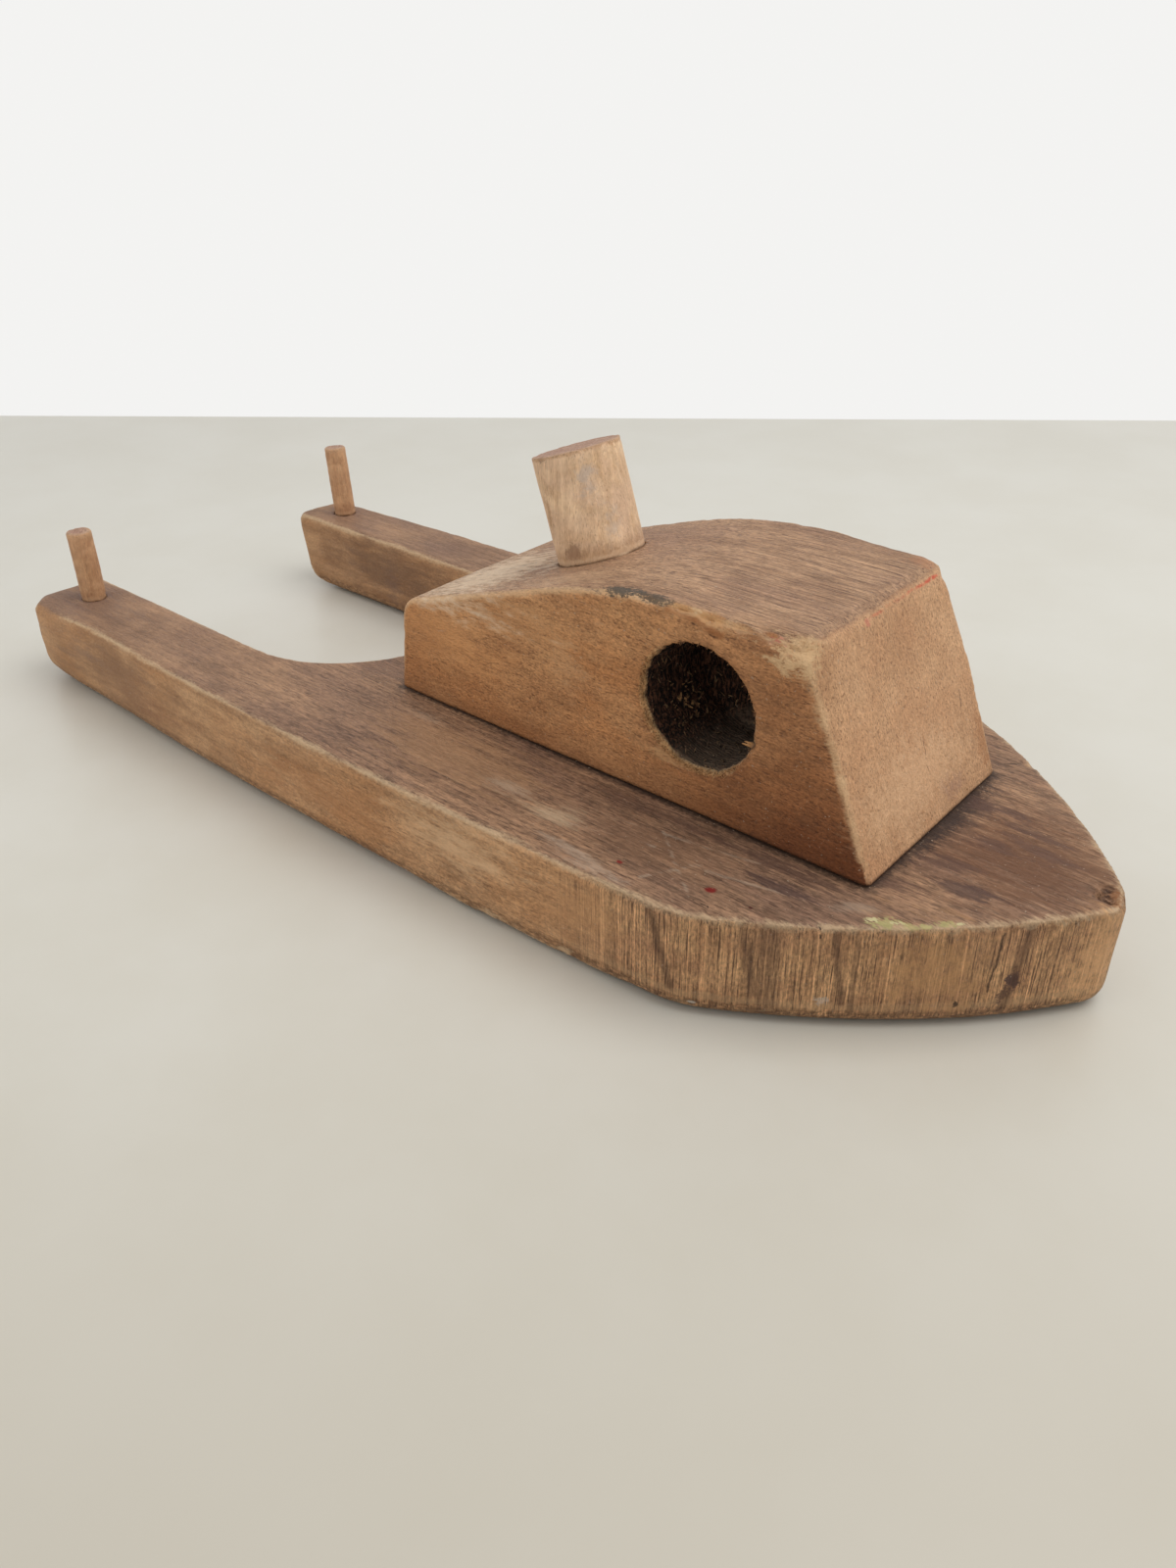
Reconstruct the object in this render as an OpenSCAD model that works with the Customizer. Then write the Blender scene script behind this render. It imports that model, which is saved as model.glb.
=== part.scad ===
// Wooden toy paddle boat. A sawn plank is the hull, with two prongs at the stern and an open
// bay between them. A shaped block is the cabin, a thick dowel the funnel, and a thin dowel
// near the end of each prong holds the drive band.
// X runs to the bow, Y to port and Z up. The origin is under the middle of the plank.

/* [Plank] */
// Length from the end of the starboard prong to the tip of the bow
hull_len = 279; // [265:1:300]
// Greatest width across the two sides
hull_w = 111.6; // [108:0.2:118]
// Thickness of the plank
hull_t = 23; // [20:0.5:26]
// Radius worn along the upper edges
deck_edge_r = 1.4; // [0.8:0.2:3]
// Radius rounded along the lower edges
keel_edge_r = 4; // [2:0.5:5]
// Distance of the maker's centre line to port of the middle of the plank
centre_off = 1.3; // [0:0.1:2.5]

/* [Bow and sides] */
// Radius of the blunt tip
tip_r = 7.2; // [6:0.2:10]
// Distance of the tip to port of the middle of the plank
tip_off = 0.7; // [0:0.1:1.5]
// Way that the bow faces where the tip ends, in degrees from straight ahead
tip_turn = 36; // [34:1:40]
// Way that the bow faces where the shoulder begins, in degrees from straight ahead
bow_turn = 62; // [58:1:66]
// Radius of the shoulder between the bow and the side
shoulder_r = 24; // [10:1:34]
// Radius of the long, gently bulging side
side_r = 1600; // [1300:50:2400]
// Turn of the side from its widest point to the shoulder, in degrees
side_turn = 3.8; // [3.2:0.1:4.2]

/* [Paddle bay] */
// Clear width between the prongs
bay_w = 68.5; // [60:0.5:72]
// Length from the end of the starboard prong to the bottom of the bay's round end
bay_len = 110; // [93:0.5:114]
// How much shorter the port prong is than the starboard one
prong_step = 4.5; // [0:0.5:7]
// Radius of the upright corners at the ends of the prongs
prong_corner_r = 3; // [1:0.5:5]

/* [Cabin block] */
// Deck left clear between the tip of the bow and the cabin
foredeck_len = 36; // [30:0.2:44]
// Length of the cabin along its base
cabin_len = 123; // [116:0.2:128]
// Width of the cabin
cabin_w = 51.5; // [45:0.5:60]
// Height of the flat part of the roof above the deck
cabin_h = 42.2; // [39:0.2:50]
// Backward rake of the front face, in degrees
front_rake = 22; // [14:1:24]
// Forward lean of the rear face, in degrees
rear_lean = 7; // [0:1:12]
// Fall of the rear half of the roof, in degrees
roof_fall = 18; // [14:0.5:19]
// Where the roof starts to fall, behind the foot of the front face
roof_break = 59.6; // [52:0.2:64]
// Radius that eases the flat roof into its fall
roof_r = 115; // [60:5:130]
// Radius between the roof and the front face
brow_r = 4.5; // [2:0.5:7]
// Radius between the roof and the rear face
rear_top_r = 6; // [3:0.5:8]
// Radius worn along the edges of the two sawn sides
cabin_edge_r = 1.4; // [0.8:0.2:3]

/* [Portholes] */
// Diameter of the hole bored in each side of the cabin
porthole_d = 25.4; // [18:0.2:28]
// Depth of the flat-bottomed hole
porthole_depth = 20; // [10:0.5:21]
// Height of its centre above the deck
porthole_up = 23; // [21:0.2:24]
// Distance of its centre behind the foot of the front face
porthole_back = 38.8; // [37:0.2:44]
// Diameter of the small hole left by the point of the bit
spur_d = 3; // [1:0.5:4]
// Depth of that small hole below the flat bottom
spur_depth = 3.2; // [1:0.2:4]

/* [Funnel] */
// Diameter of the funnel dowel
funnel_d = 19; // [15:0.5:22]
// Length that stands out of the roof
funnel_out = 23; // [15:0.5:34]
// Length glued into the cabin
funnel_in = 15; // [8:0.5:18]
// Where its middle leaves the roof, behind the foot of the front face
funnel_back = 83.2; // [80:0.2:90]

/* [Band pegs] */
// Diameter of the peg dowels
peg_d = 6.5; // [5:0.1:8]
// Length of the starboard peg that stands out of the deck
peg_out = 19; // [12:0.5:28]
// How much further the port peg stands out
port_peg_extra = 2; // [0:0.5:5]
// Length glued into the prong
peg_in = 14; // [8:0.5:16]
// Distance of both pegs from the end of the starboard prong
peg_from_end = 15.8; // [12:0.2:21]
// Distance of each peg from the widest line of its side
peg_inboard = 12.1; // [10:0.1:15]
// Lean of the port peg towards the stern, in degrees
port_peg_lean = 4; // [0:0.5:8]

/* [Cabin screws] */
// Length of the two screws that hold the cabin from below
screw_len = 33; // [29:0.5:36]
// Diameter of the plain shank
shank_d = 4.2; // [3:0.1:5]
// Diameter of the core that bites into the cabin
core_d = 3; // [2:0.1:3.6]
// Diameter of the countersunk head
screw_head_d = 8.4; // [7:0.1:10]
// Height of the head's cone
screw_head_h = 2.6; // [2:0.1:3.4]
// Depth of the head below the underside of the plank
screw_sunk = 0.6; // [0.2:0.1:1.5]
// Width of the slot in the head
slot_w = 1.1; // [0.6:0.1:1.6]
// Distance of the front screw behind the foot of the front face
front_screw_back = 14; // [12:0.5:17]
// Distance of the rear screw ahead of the foot of the rear face
rear_screw_ahead = 22; // [14:0.5:24]

/* [Fits] */
// Gap all round between a dowel and its hole
dowel_gap = 0.1; // [0.05:0.05:0.3]
// Gap all round between a screw and its hole
screw_gap = 0.15; // [0.05:0.05:0.3]
// How much the hidden foot of a dowel tapers, on its radius, so that it starts in its hole
foot_taper = 0.4; // [0.2:0.1:0.6]
// Height above its hole where a dowel reaches its full diameter
dowel_neck = 0.5; // [0.4:0.1:1]
// Radius on the ends of the dowels
dowel_end_r = 0.8; // [0.3:0.1:1.5]

/* [Hidden] */

// Facets of a full turn on dowels and bores, and steps of a worn edge
round_fn = 64;
edge_steps = 5;
// A cut runs this far past the face that it opens
past = 1;
// Least radius that is left at a corner inside a worn edge
least_r = 0.3;
// Points closer than this are the same point
same_point = 0.001;

tip_x = hull_len / 2;
stern_x = -hull_len / 2;
port_end_x = stern_x + prong_step;
front_x = tip_x - foredeck_len;
bay_r = bay_w / 2;
bay_centre_x = stern_x + bay_len - bay_r;
peg_x = stern_x + peg_from_end;
peg_side = hull_w / 2 - peg_inboard;

// Ways that the five sawn faces of the cabin look, in its side view
front_way = front_rake;
roof_way = 90;
fall_way = 90 + roof_fall;
rear_way = 180 - rear_lean;
base_way = 270;
// The sawn profile runs this far below the deck before the base is cut flat
base_trim = 4;

roof_break_p = [-roof_break, cabin_h];
// Height of the falling roof at the funnel, above the deck
funnel_roof_z = cabin_h - (funnel_back - roof_break) * tan(roof_fall);

function facing(way) = [cos(way), sin(way)];

// Point where two straight faces meet; each is given by the way it looks and its distance
// from the origin along that way
function meet(way_a, off_a, way_b, off_b) =
    let (a = facing(way_a), b = facing(way_b), k = a.x * b.y - a.y * b.x)
    [(off_a * b.y - off_b * a.y) / k, (off_b * a.x - off_a * b.x) / k];

// An arc of an outline: its centre, its radius, the ways that it faces at its two ends and
// its steps; a hollow arc has a negative radius
function arc(c, r, from, to, steps) = [c, r, from, to, steps];

// The arc that rounds the corner at p between two straight faces
function corner_arc(p, way_a, way_b, r, steps) =
    let (a = facing(way_a), b = facing(way_b))
    arc(p - r * (a + b) / (1 + a * b), r, way_a, way_b, steps);

// A ring of points without those that repeat the next one, as where two arcs join
function distinct(ring) =
    [for (i = [0 : len(ring) - 1])
        if (norm(ring[(i + 1) % len(ring)] - ring[i]) > same_point) ring[i]];

// The points of an outline drawn inside its arcs by d
function inset_points(arcs, d) = distinct(
    [for (a = arcs) for (i = [0 : a[4]]) let (way = a[2] + (a[3] - a[2]) * i / a[4])
        a[0] + (a[1] - d) * facing(way)]);

// A corner keeps at least a small radius inside a worn edge
function worn_r(r, d) = max(r, d + least_r);

// Radius of the bow on a side that bulges by half from the line of the tip. It follows from
// that width, so that tip, bow, shoulder and side run into one another without a corner.
function bow_r(half) =
    (half - tip_r * sin(tip_turn) - shoulder_r * (cos(side_turn) - sin(bow_turn))
     - side_r * (1 - cos(side_turn))) / (sin(bow_turn) - sin(tip_turn));

// Arcs of one side of the plank, from the tip to a prong that ends at end_x; port side,
// measured from the line of the tip
function side_arcs(half, end_x, r) =
    let (bow = bow_r(half),
         bow_c = [tip_x - tip_r, 0] - (bow - tip_r) * facing(tip_turn),
         shoulder_c = bow_c + (bow - shoulder_r) * facing(bow_turn),
         side_c = shoulder_c - (side_r - shoulder_r) * facing(90 - side_turn),
         x = end_x + r,
         end_c = [x, side_c.y + sqrt(pow(side_r - r, 2) - pow(x - side_c.x, 2))],
         meet_way = atan2(end_c.y - side_c.y, end_c.x - side_c.x))
    [arc(bow_c, bow, tip_turn, bow_turn, 10),
     arc(shoulder_c, shoulder_r, bow_turn, 90 - side_turn, 7),
     arc(side_c, side_r, 90 - side_turn, meet_way, 9),
     arc(end_c, r, meet_way, 180, 4)];

// The same arcs seen in a mirror along the line of the tip, in the opposite order
function mirrored(arcs) =
    [for (i = [len(arcs) - 1 : -1 : 0]) let (a = arcs[i])
        arc([a[0].x, -a[0].y], a[1], -a[3], -a[2], a[4])];

// Arcs moved to port by a distance
function moved(arcs, by) = [for (a = arcs) arc(a[0] + [0, by], a[1], a[2], a[3], a[4])];

// Arcs of the whole plank, drawn for an outline that lies inside it by d
function hull_arcs(d) =
    let (r = worn_r(prong_corner_r, d))
    concat(
        [arc([tip_x - tip_r, tip_off], tip_r, -tip_turn, tip_turn, 10)],
        moved(side_arcs(hull_w / 2 - tip_off, port_end_x, r), tip_off),
        [corner_arc([port_end_x, centre_off + bay_r], 180, 270, r, 4),
         arc([bay_centre_x, centre_off], -bay_r, 270, 90, 24),
         corner_arc([stern_x, centre_off - bay_r], 90, 180, r, 4)],
        moved(mirrored(side_arcs(hull_w / 2 + tip_off, stern_x, r)), tip_off));

// Arcs of the cabin's side view, from the foot of its front face
function cabin_arcs(d) =
    let (r = worn_r(least_r, d),
         fall_off = roof_break_p * facing(fall_way),
         rear_off = [-cabin_len, 0] * facing(rear_way))
    [corner_arc(meet(base_way, base_trim, front_way, 0), base_way - 360, front_way, r, 3),
     corner_arc(meet(front_way, 0, roof_way, cabin_h), front_way, roof_way, worn_r(brow_r, d), 8),
     corner_arc(roof_break_p, roof_way, fall_way, roof_r, 12),
     corner_arc(meet(fall_way, fall_off, rear_way, rear_off), fall_way, rear_way,
                worn_r(rear_top_r, d), 8),
     corner_arc(meet(rear_way, rear_off, base_way, base_trim), rear_way, base_way, r, 3)];

// Depth and inset of step i of a quarter-round edge. Step -1 lies outside the flat face, in
// line with the first facet, so that a clean cut can make that face.
function edge_point(r, i) =
    let (t = 90 * abs(i) / edge_steps)
    i < 0 ? [-r * (1 - cos(t)), r * (1 + sin(t))] : [r * (1 - cos(t)), r * (1 - sin(t))];

// Levels of a slab with quarter-round edges: height and inset, from the bottom to the top
function edge_levels(thick, low_r, high_r) = concat(
    [for (i = [-1 : edge_steps]) edge_point(low_r, i)],
    [for (i = [edge_steps : -1 : -1]) let (e = edge_point(high_r, i)) [thick - e.x, e.y]]);

// Closed skin through rings of points of equal count, from the lowest ring to the highest
module skin(rings) {
    n = len(rings[0]);
    last = len(rings) - 1;
    side_faces = [for (k = [0 : last - 1]) for (j = [0 : n - 1])
        let (low = k * n, high = low + n, next = (j + 1) % n)
        each [[low + j, high + j, high + next], [low + j, high + next, low + next]]];
    polyhedron(
        points = [for (ring = rings) each ring],
        faces = concat([[for (j = [0 : n - 1]) j]], side_faces,
                       [[for (j = [n - 1 : -1 : 0]) last * n + j]]));
}

// The sawn plank, rounded over below and worn above
module plank() {
    intersection() {
        skin([for (level = edge_levels(hull_t, keel_edge_r, deck_edge_r))
            [for (p = inset_points(hull_arcs(level[1]), level[1])) [p.x, p.y, level[0]]]]);
        translate([-hull_len, -hull_w, 0]) cube([2 * hull_len, 2 * hull_w, hull_t]);
    }
}

// The band-sawn cabin block, standing on the deck plane, its front foot at the origin
module cabin_block() {
    intersection() {
        translate([0, cabin_w / 2, 0]) rotate([90, 0, 0])
            skin([for (level = edge_levels(cabin_w, cabin_edge_r, cabin_edge_r))
                [for (p = inset_points(cabin_arcs(level[1]), level[1])) [p.x, p.y, level[0]]]]);
        translate([-2 * cabin_len, -cabin_w / 2, 0]) cube([3 * cabin_len, cabin_w, 2 * cabin_h]);
    }
}

// A flat-bottomed hole with the mark of the bit's point, bored along +Z from z = 0 down
module bit_hole() {
    translate([0, 0, -porthole_depth])
        cylinder(d = porthole_d, h = porthole_depth + past, $fn = round_fn);
    translate([0, 0, -porthole_depth - spur_depth])
        cylinder(d = spur_d, h = spur_depth + past, $fn = round_fn);
}

// A dowel on the Z axis: its tapered foot sits in a hole below z = 0, its free end stands above
module dowel(d, out, in) {
    r = d / 2;
    neck_r = r - dowel_gap;
    toe_r = neck_r - foot_taper;
    foot = [[0, -in], [toe_r - dowel_end_r, -in], [toe_r, dowel_end_r - in], [neck_r, 0]];
    free_end = [for (t = [0 : 15 : 90])
        [r - dowel_end_r * (1 - cos(t)), out - dowel_end_r * (1 - sin(t))]];
    rotate_extrude($fn = round_fn) polygon(concat(foot, [[r, dowel_neck]], free_end, [[0, out]]));
}

// A countersunk screw on the Z axis, its head at z = 0 and its point upwards
module screw() {
    point_h = core_d;
    shank_h = hull_t - screw_sunk;
    difference() {
        union() {
            cylinder(d1 = screw_head_d, d2 = shank_d, h = screw_head_h, $fn = round_fn);
            cylinder(d = shank_d, h = shank_h, $fn = round_fn);
            cylinder(d = core_d, h = screw_len - point_h, $fn = round_fn);
            translate([0, 0, screw_len - point_h])
                cylinder(d1 = core_d, d2 = core_d / 6, h = point_h, $fn = round_fn);
        }
        translate([-screw_head_d, -slot_w / 2, -past])
            cube([2 * screw_head_d, slot_w, past + screw_head_h / 2]);
    }
}

// The hole for that screw through the plank: sunk seat, cone and shank
module plank_screw_hole() {
    wide = screw_head_d + 2 * screw_gap;
    narrow = shank_d + 2 * screw_gap;
    translate([0, 0, -screw_sunk - past]) cylinder(d = wide, h = screw_sunk + past, $fn = round_fn);
    cylinder(d1 = wide, d2 = narrow, h = screw_head_h, $fn = round_fn);
    cylinder(d = narrow, h = hull_t + past, $fn = round_fn);
}

// Places that pieces share
module at_cabin() {
    translate([front_x, centre_off, hull_t]) children();
}

module at_funnel() {
    at_cabin() translate([-funnel_back, 0, funnel_roof_z]) rotate([0, -roof_fall, 0]) children();
}

module at_starboard_peg() {
    translate([peg_x, centre_off - peg_side, hull_t]) children();
}

module at_port_peg() {
    translate([peg_x, centre_off + peg_side, hull_t]) rotate([0, -port_peg_lean, 0]) children();
}

module at_front_screw() {
    translate([front_x - front_screw_back, centre_off, screw_sunk]) children();
}

module at_rear_screw() {
    translate([front_x - cabin_len + rear_screw_ahead, centre_off, screw_sunk]) children();
}

module peg_hole() {
    translate([0, 0, -peg_in]) cylinder(d = peg_d, h = peg_in + past, $fn = round_fn);
}

module hull() {
    color("#8f7258") difference() {
        plank();
        at_starboard_peg() peg_hole();
        at_port_peg() peg_hole();
        at_front_screw() plank_screw_hole();
        at_rear_screw() plank_screw_hole();
    }
}

module cabin() {
    pilot_d = core_d + 2 * screw_gap;
    pilot_top = screw_sunk + screw_len + screw_gap;
    color("#a87a52") difference() {
        at_cabin() cabin_block();
        for (side = [0, 180])
            at_cabin() translate([-porthole_back, 0, porthole_up]) rotate([0, 0, side])
                translate([0, -cabin_w / 2, 0]) rotate([90, 0, 0]) bit_hole();
        at_funnel() translate([0, 0, -funnel_in])
            cylinder(d = funnel_d, h = funnel_in + funnel_d, $fn = round_fn);
        for (x = [front_x - front_screw_back, front_x - cabin_len + rear_screw_ahead])
            translate([x, centre_off, hull_t - past])
                cylinder(d = pilot_d, h = pilot_top - hull_t + past, $fn = round_fn);
    }
}

module funnel() {
    color("#c9a580") at_funnel() dowel(funnel_d, funnel_out, funnel_in);
}

module starboard_peg() {
    color("#b58a60") at_starboard_peg() dowel(peg_d, peg_out, peg_in);
}

module port_peg() {
    color("#b58a60") at_port_peg() dowel(peg_d, peg_out + port_peg_extra, peg_in);
}

module front_cabin_screw() {
    color("#8a8378") at_front_screw() screw();
}

module rear_cabin_screw() {
    color("#8a8378") at_rear_screw() screw();
}

hull();
cabin();
funnel();
starboard_peg();
port_peg();
front_cabin_screw();
rear_cabin_screw();
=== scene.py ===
"""Wooden toy paddle boat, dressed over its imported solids.

Sizes and places are millimetres in the boat's own frame: X to the bow, Y to port and Z up
from the underside of the plank. Meshes are in metres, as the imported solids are.
"""
import logging
import math
import random
from collections.abc import Sequence
from dataclasses import dataclass
from enum import Enum

import bmesh
import bpy
import numpy as np
from bpy.types import ID, Material, Mesh, Node, NodeSocket, Object
from mathutils import Matrix, Vector, noise


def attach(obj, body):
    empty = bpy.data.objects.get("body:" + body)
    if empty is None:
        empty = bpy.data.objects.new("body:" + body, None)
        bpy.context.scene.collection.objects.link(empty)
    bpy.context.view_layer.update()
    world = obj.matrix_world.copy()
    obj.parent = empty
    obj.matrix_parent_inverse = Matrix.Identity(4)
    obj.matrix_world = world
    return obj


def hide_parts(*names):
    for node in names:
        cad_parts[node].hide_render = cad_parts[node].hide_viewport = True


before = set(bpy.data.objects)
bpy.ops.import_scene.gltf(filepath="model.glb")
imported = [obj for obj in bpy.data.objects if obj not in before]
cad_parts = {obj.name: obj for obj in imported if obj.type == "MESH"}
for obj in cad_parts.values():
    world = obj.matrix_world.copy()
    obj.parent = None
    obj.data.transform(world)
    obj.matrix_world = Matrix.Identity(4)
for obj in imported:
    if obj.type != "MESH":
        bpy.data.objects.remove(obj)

log = logging.getLogger("paddle_boat")

MM = 0.001
BODY = "root"
SHARP = math.radians(35)
Place = tuple[float, float, float]

# Points nearer than this are made one, in metres and in millimetres
WELD_M = 1e-6
WELD_MM = 1e-4

# Places that the pieces share, as in the part's source
DECK_Z = 23.0
CENTRE_Y = 1.3
CABIN_FRONT_X = 103.5
CABIN_REAR_X = -19.5
CABIN_HALF_W = 25.75
ROOF_FALL = 18.0
PORTHOLE = (64.7, CENTRE_Y, 46.0)
PORTHOLE_R = 12.7
PORTHOLE_DEPTH = 20.0
FRAYED_WAY = (-0.75, 0, -0.66)
FUNNEL_FOOT = (20.3, CENTRE_Y, 57.532)
FUNNEL_R = 9.5
PEG_FEET = (((-123.7, -42.4, DECK_Z), 0.0), ((-123.7, 45.0, DECK_Z), 4.0))
PEG_R = 3.25

# Ways in the boat's frame
AHEAD = (1, 0, 0)
ASTERN = (-1, 0, 0)
PORT = (0, 1, 0)
STARBOARD = (0, -1, 0)
UP = (0, 0, 1)
DOWN = (0, 0, -1)


class Axis(Enum):
    """Axes of the boat's frame, by their place in a vector."""

    X = 0
    Y = 1
    Z = 2


class Blend(Enum):
    """Ways to lay one colour over another, by Blender's names."""

    COVER = "MIX"
    SHADE = "MULTIPLY"


@dataclass(frozen=True)
class Colour:
    """A colour as a screen shows it, 0 to 255 a channel."""

    red: float
    green: float
    blue: float

    def linear(self) -> tuple[float, float, float, float]:
        """The same colour in linear light, with full alpha."""
        parts = [c / 255 for c in (self.red, self.green, self.blue)]
        light = [c / 12.92 if c <= 0.04045 else ((c + 0.055) / 1.055) ** 2.4 for c in parts]
        return (*light, 1.0)


# Colours of marks, dust and stains, and of the grime and painted shade in corners
RED_PAINT = Colour(126, 24, 20)
DARK_STAIN = Colour(92, 66, 56)
CRACK = Colour(34, 22, 16)
DUST = Colour(186, 164, 142)
CHALK = Colour(216, 206, 192)
TORN_WOOD = Colour(202, 150, 98)
GRIME_AND_SHADE = Colour(62, 44, 34)
LINE_RED = Colour(206, 84, 58)
SMEAR = Colour(186, 178, 118)
PALE_SMEAR = Colour(220, 212, 160)

# What an input of a node takes
Plug = NodeSocket | float | Colour | tuple


class Graph:
    """Short ways to add shader nodes to one material and to join them."""

    def __init__(self, name: str) -> None:
        """Starts an empty material.

        Args:
            name: The material's name.
        """
        self.material: Material = bpy.data.materials.new(name)
        self.material.use_nodes = True
        self.tree = self.material.node_tree
        self.tree.nodes.clear()
        coords = self.node("ShaderNodeTexCoord")
        self.normal: NodeSocket = coords.outputs["Normal"]
        self.point: NodeSocket = self.vector("SCALE", coords.outputs["Object"], scale=1 / MM)

    def node(self, kind: str, **settings: object) -> Node:
        """Adds a node.

        Args:
            kind: Blender's name for the node's type.
            **settings: Properties to set on it.

        Returns:
            The node.
        """
        made = self.tree.nodes.new(kind)
        for key, value in settings.items():
            setattr(made, key, value)
        return made

    def feed(self, socket: NodeSocket, value: Plug) -> None:
        """Joins or sets an input socket.

        Args:
            socket: The input.
            value: An output to join to it, or a plain value.
        """
        if isinstance(value, NodeSocket):
            self.tree.links.new(value, socket)
        elif isinstance(value, Colour):
            socket.default_value = value.linear()
        else:
            socket.default_value = value

    def math(self, operation: str, a: Plug, b: Plug = 0.0, clamp: bool = False) -> NodeSocket:
        """One step of arithmetic.

        Args:
            operation: Blender's name for it.
            a: First value.
            b: Second value.
            clamp: Whether the result is kept from 0 to 1.

        Returns:
            The result.
        """
        step = self.node("ShaderNodeMath", operation=operation, use_clamp=clamp)
        self.feed(step.inputs[0], a)
        self.feed(step.inputs[1], b)
        return step.outputs[0]

    def vector(self, operation: str, a: Plug, b: Plug = (0, 0, 0), scale: Plug = 1.0) -> NodeSocket:
        """One step of vector arithmetic.

        Args:
            operation: Blender's name for it.
            a: First vector.
            b: Second vector.
            scale: Factor for a scaling.

        Returns:
            The result, a number for a length, distance or dot product.
        """
        step = self.node("ShaderNodeVectorMath", operation=operation)
        self.feed(step.inputs[0], a)
        self.feed(step.inputs[1], b)
        if operation == "SCALE":
            self.feed(step.inputs["Scale"], scale)
        number = operation in ("LENGTH", "DISTANCE", "DOT_PRODUCT")
        return step.outputs["Value" if number else "Vector"]

    def part(self, vector: NodeSocket, axis: Axis) -> NodeSocket:
        """One coordinate of a vector."""
        split = self.node("ShaderNodeSeparateXYZ")
        self.feed(split.inputs[0], vector)
        return split.outputs[axis.value]

    def placed(self, vector: NodeSocket, at: Place, turn: Place, size: Place) -> NodeSocket:
        """A vector measured from a place, along turned axes, in units of a size.

        Args:
            vector: The vector, in millimetres.
            at: The place.
            turn: Turn of the axes, in degrees about X, Y and Z.
            size: Unit along each of them.

        Returns:
            The measured vector.
        """
        step = self.node("ShaderNodeMapping", vector_type="TEXTURE")
        self.feed(step.inputs["Vector"], vector)
        step.inputs["Location"].default_value = at
        step.inputs["Rotation"].default_value = [math.radians(t) for t in turn]
        step.inputs["Scale"].default_value = size
        return step.outputs["Vector"]

    def noise(self, vector: NodeSocket, detail: float = 2.0, rough: float = 0.5) -> Node:
        """Noise of about one bump a unit.

        Args:
            vector: Where it is read.
            detail: Octaves of finer noise.
            rough: Strength of the finer ones.

        Returns:
            Its node, whose values run from about 0.2 to 0.8.
        """
        step = self.node("ShaderNodeTexNoise")
        self.feed(step.inputs["Vector"], vector)
        for name, value in (("Scale", 1.0), ("Detail", detail), ("Roughness", rough)):
            step.inputs[name].default_value = value
        return step

    def grainy(self, size: Place | float, at: Place = (0, 0, 0), turn: Place = (0, 0, 0),
               detail: float = 2.0, rough: float = 0.5) -> NodeSocket:
        """Noise whose bumps have a size along each axis.

        Args:
            size: Size of its bumps in millimetres, one for all axes or one for each.
            at: Where it is centred, which also picks its pattern.
            turn: Turn of its axes, in degrees.
            detail: Octaves of finer noise.
            rough: Strength of the finer ones.

        Returns:
            Its value, from about 0.2 to 0.8.
        """
        sizes = size if isinstance(size, tuple) else (size, size, size)
        return self.noise(self.placed(self.point, at, turn, sizes), detail, rough).outputs["Fac"]

    def step(self, value: Plug, low: float, high: float) -> NodeSocket:
        """A smooth rise from 0 at low to 1 at high; it falls where high is below low."""
        made = self.node("ShaderNodeMapRange", interpolation_type="SMOOTHSTEP")
        self.feed(made.inputs["Value"], value)
        ends = (low, high, 0.0, 1.0) if high > low else (high, low, 1.0, 0.0)
        for name, end in zip(("From Min", "From Max", "To Min", "To Max"), ends):
            made.inputs[name].default_value = end
        return made.outputs["Result"]

    def chain(self, operation: str, values: tuple[Plug, ...]) -> NodeSocket:
        """Joins values by one kind of arithmetic, from the first to the last.

        Args:
            operation: Blender's name for it.
            values: The values.

        Returns:
            The result.
        """
        result = values[0]
        for value in values[1:]:
            result = self.math(operation, result, value)
        return result

    def add(self, *values: Plug) -> NodeSocket:
        """The sum of some values."""
        return self.chain("ADD", values)

    def less(self, *values: Plug) -> NodeSocket:
        """The first value less the others."""
        return self.chain("SUBTRACT", values)

    def times(self, *values: Plug) -> NodeSocket:
        """The product of masks and strengths."""
        return self.chain("MULTIPLY", values)

    def most(self, *values: Plug) -> NodeSocket:
        """The greatest of some masks."""
        return self.chain("MAXIMUM", values)

    def mix(self, share: Plug, under: Plug, over: Plug, blend: Blend = Blend.COVER) -> NodeSocket:
        """Lays one colour over another.

        Args:
            share: How much of the upper one shows.
            under: The lower colour.
            over: The upper colour.
            blend: The way they mix.

        Returns:
            The mixed colour.
        """
        made = self.node("ShaderNodeMix", data_type="RGBA", blend_type=blend.value)
        for index, value in ((0, share), (6, under), (7, over)):
            self.feed(made.inputs[index], value)
        return made.outputs[2]

    def tint(self, under: Plug, over: Plug, *shares: Plug) -> NodeSocket:
        """Lays one colour over another, as far as the product of some shares."""
        return self.mix(self.times(*shares), under, over)

    def attribute(self, name: str) -> NodeSocket:
        """A number that is kept at the piece's own points."""
        return self.node("ShaderNodeAttribute", attribute_name=name).outputs["Fac"]

    def facing(self, axis: Axis, low: float, high: float) -> NodeSocket:
        """How squarely the surface looks along an axis, either way."""
        return self.step(self.math("ABSOLUTE", self.part(self.normal, axis)), low, high)

    def wobble(self, size: float, reach: float) -> NodeSocket:
        """Small shifts, about zero, that bend a line drawn with them.

        Args:
            size: Size of a bend, in millimetres.
            reach: How far it shifts.

        Returns:
            The shift.
        """
        bends = self.noise(self.vector("SCALE", self.point, scale=1 / size), detail=3.0)
        middle = self.vector("SUBTRACT", bends.outputs["Color"], (0.5, 0.5, 0.5))
        return self.vector("SCALE", middle, scale=2 * reach)

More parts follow.
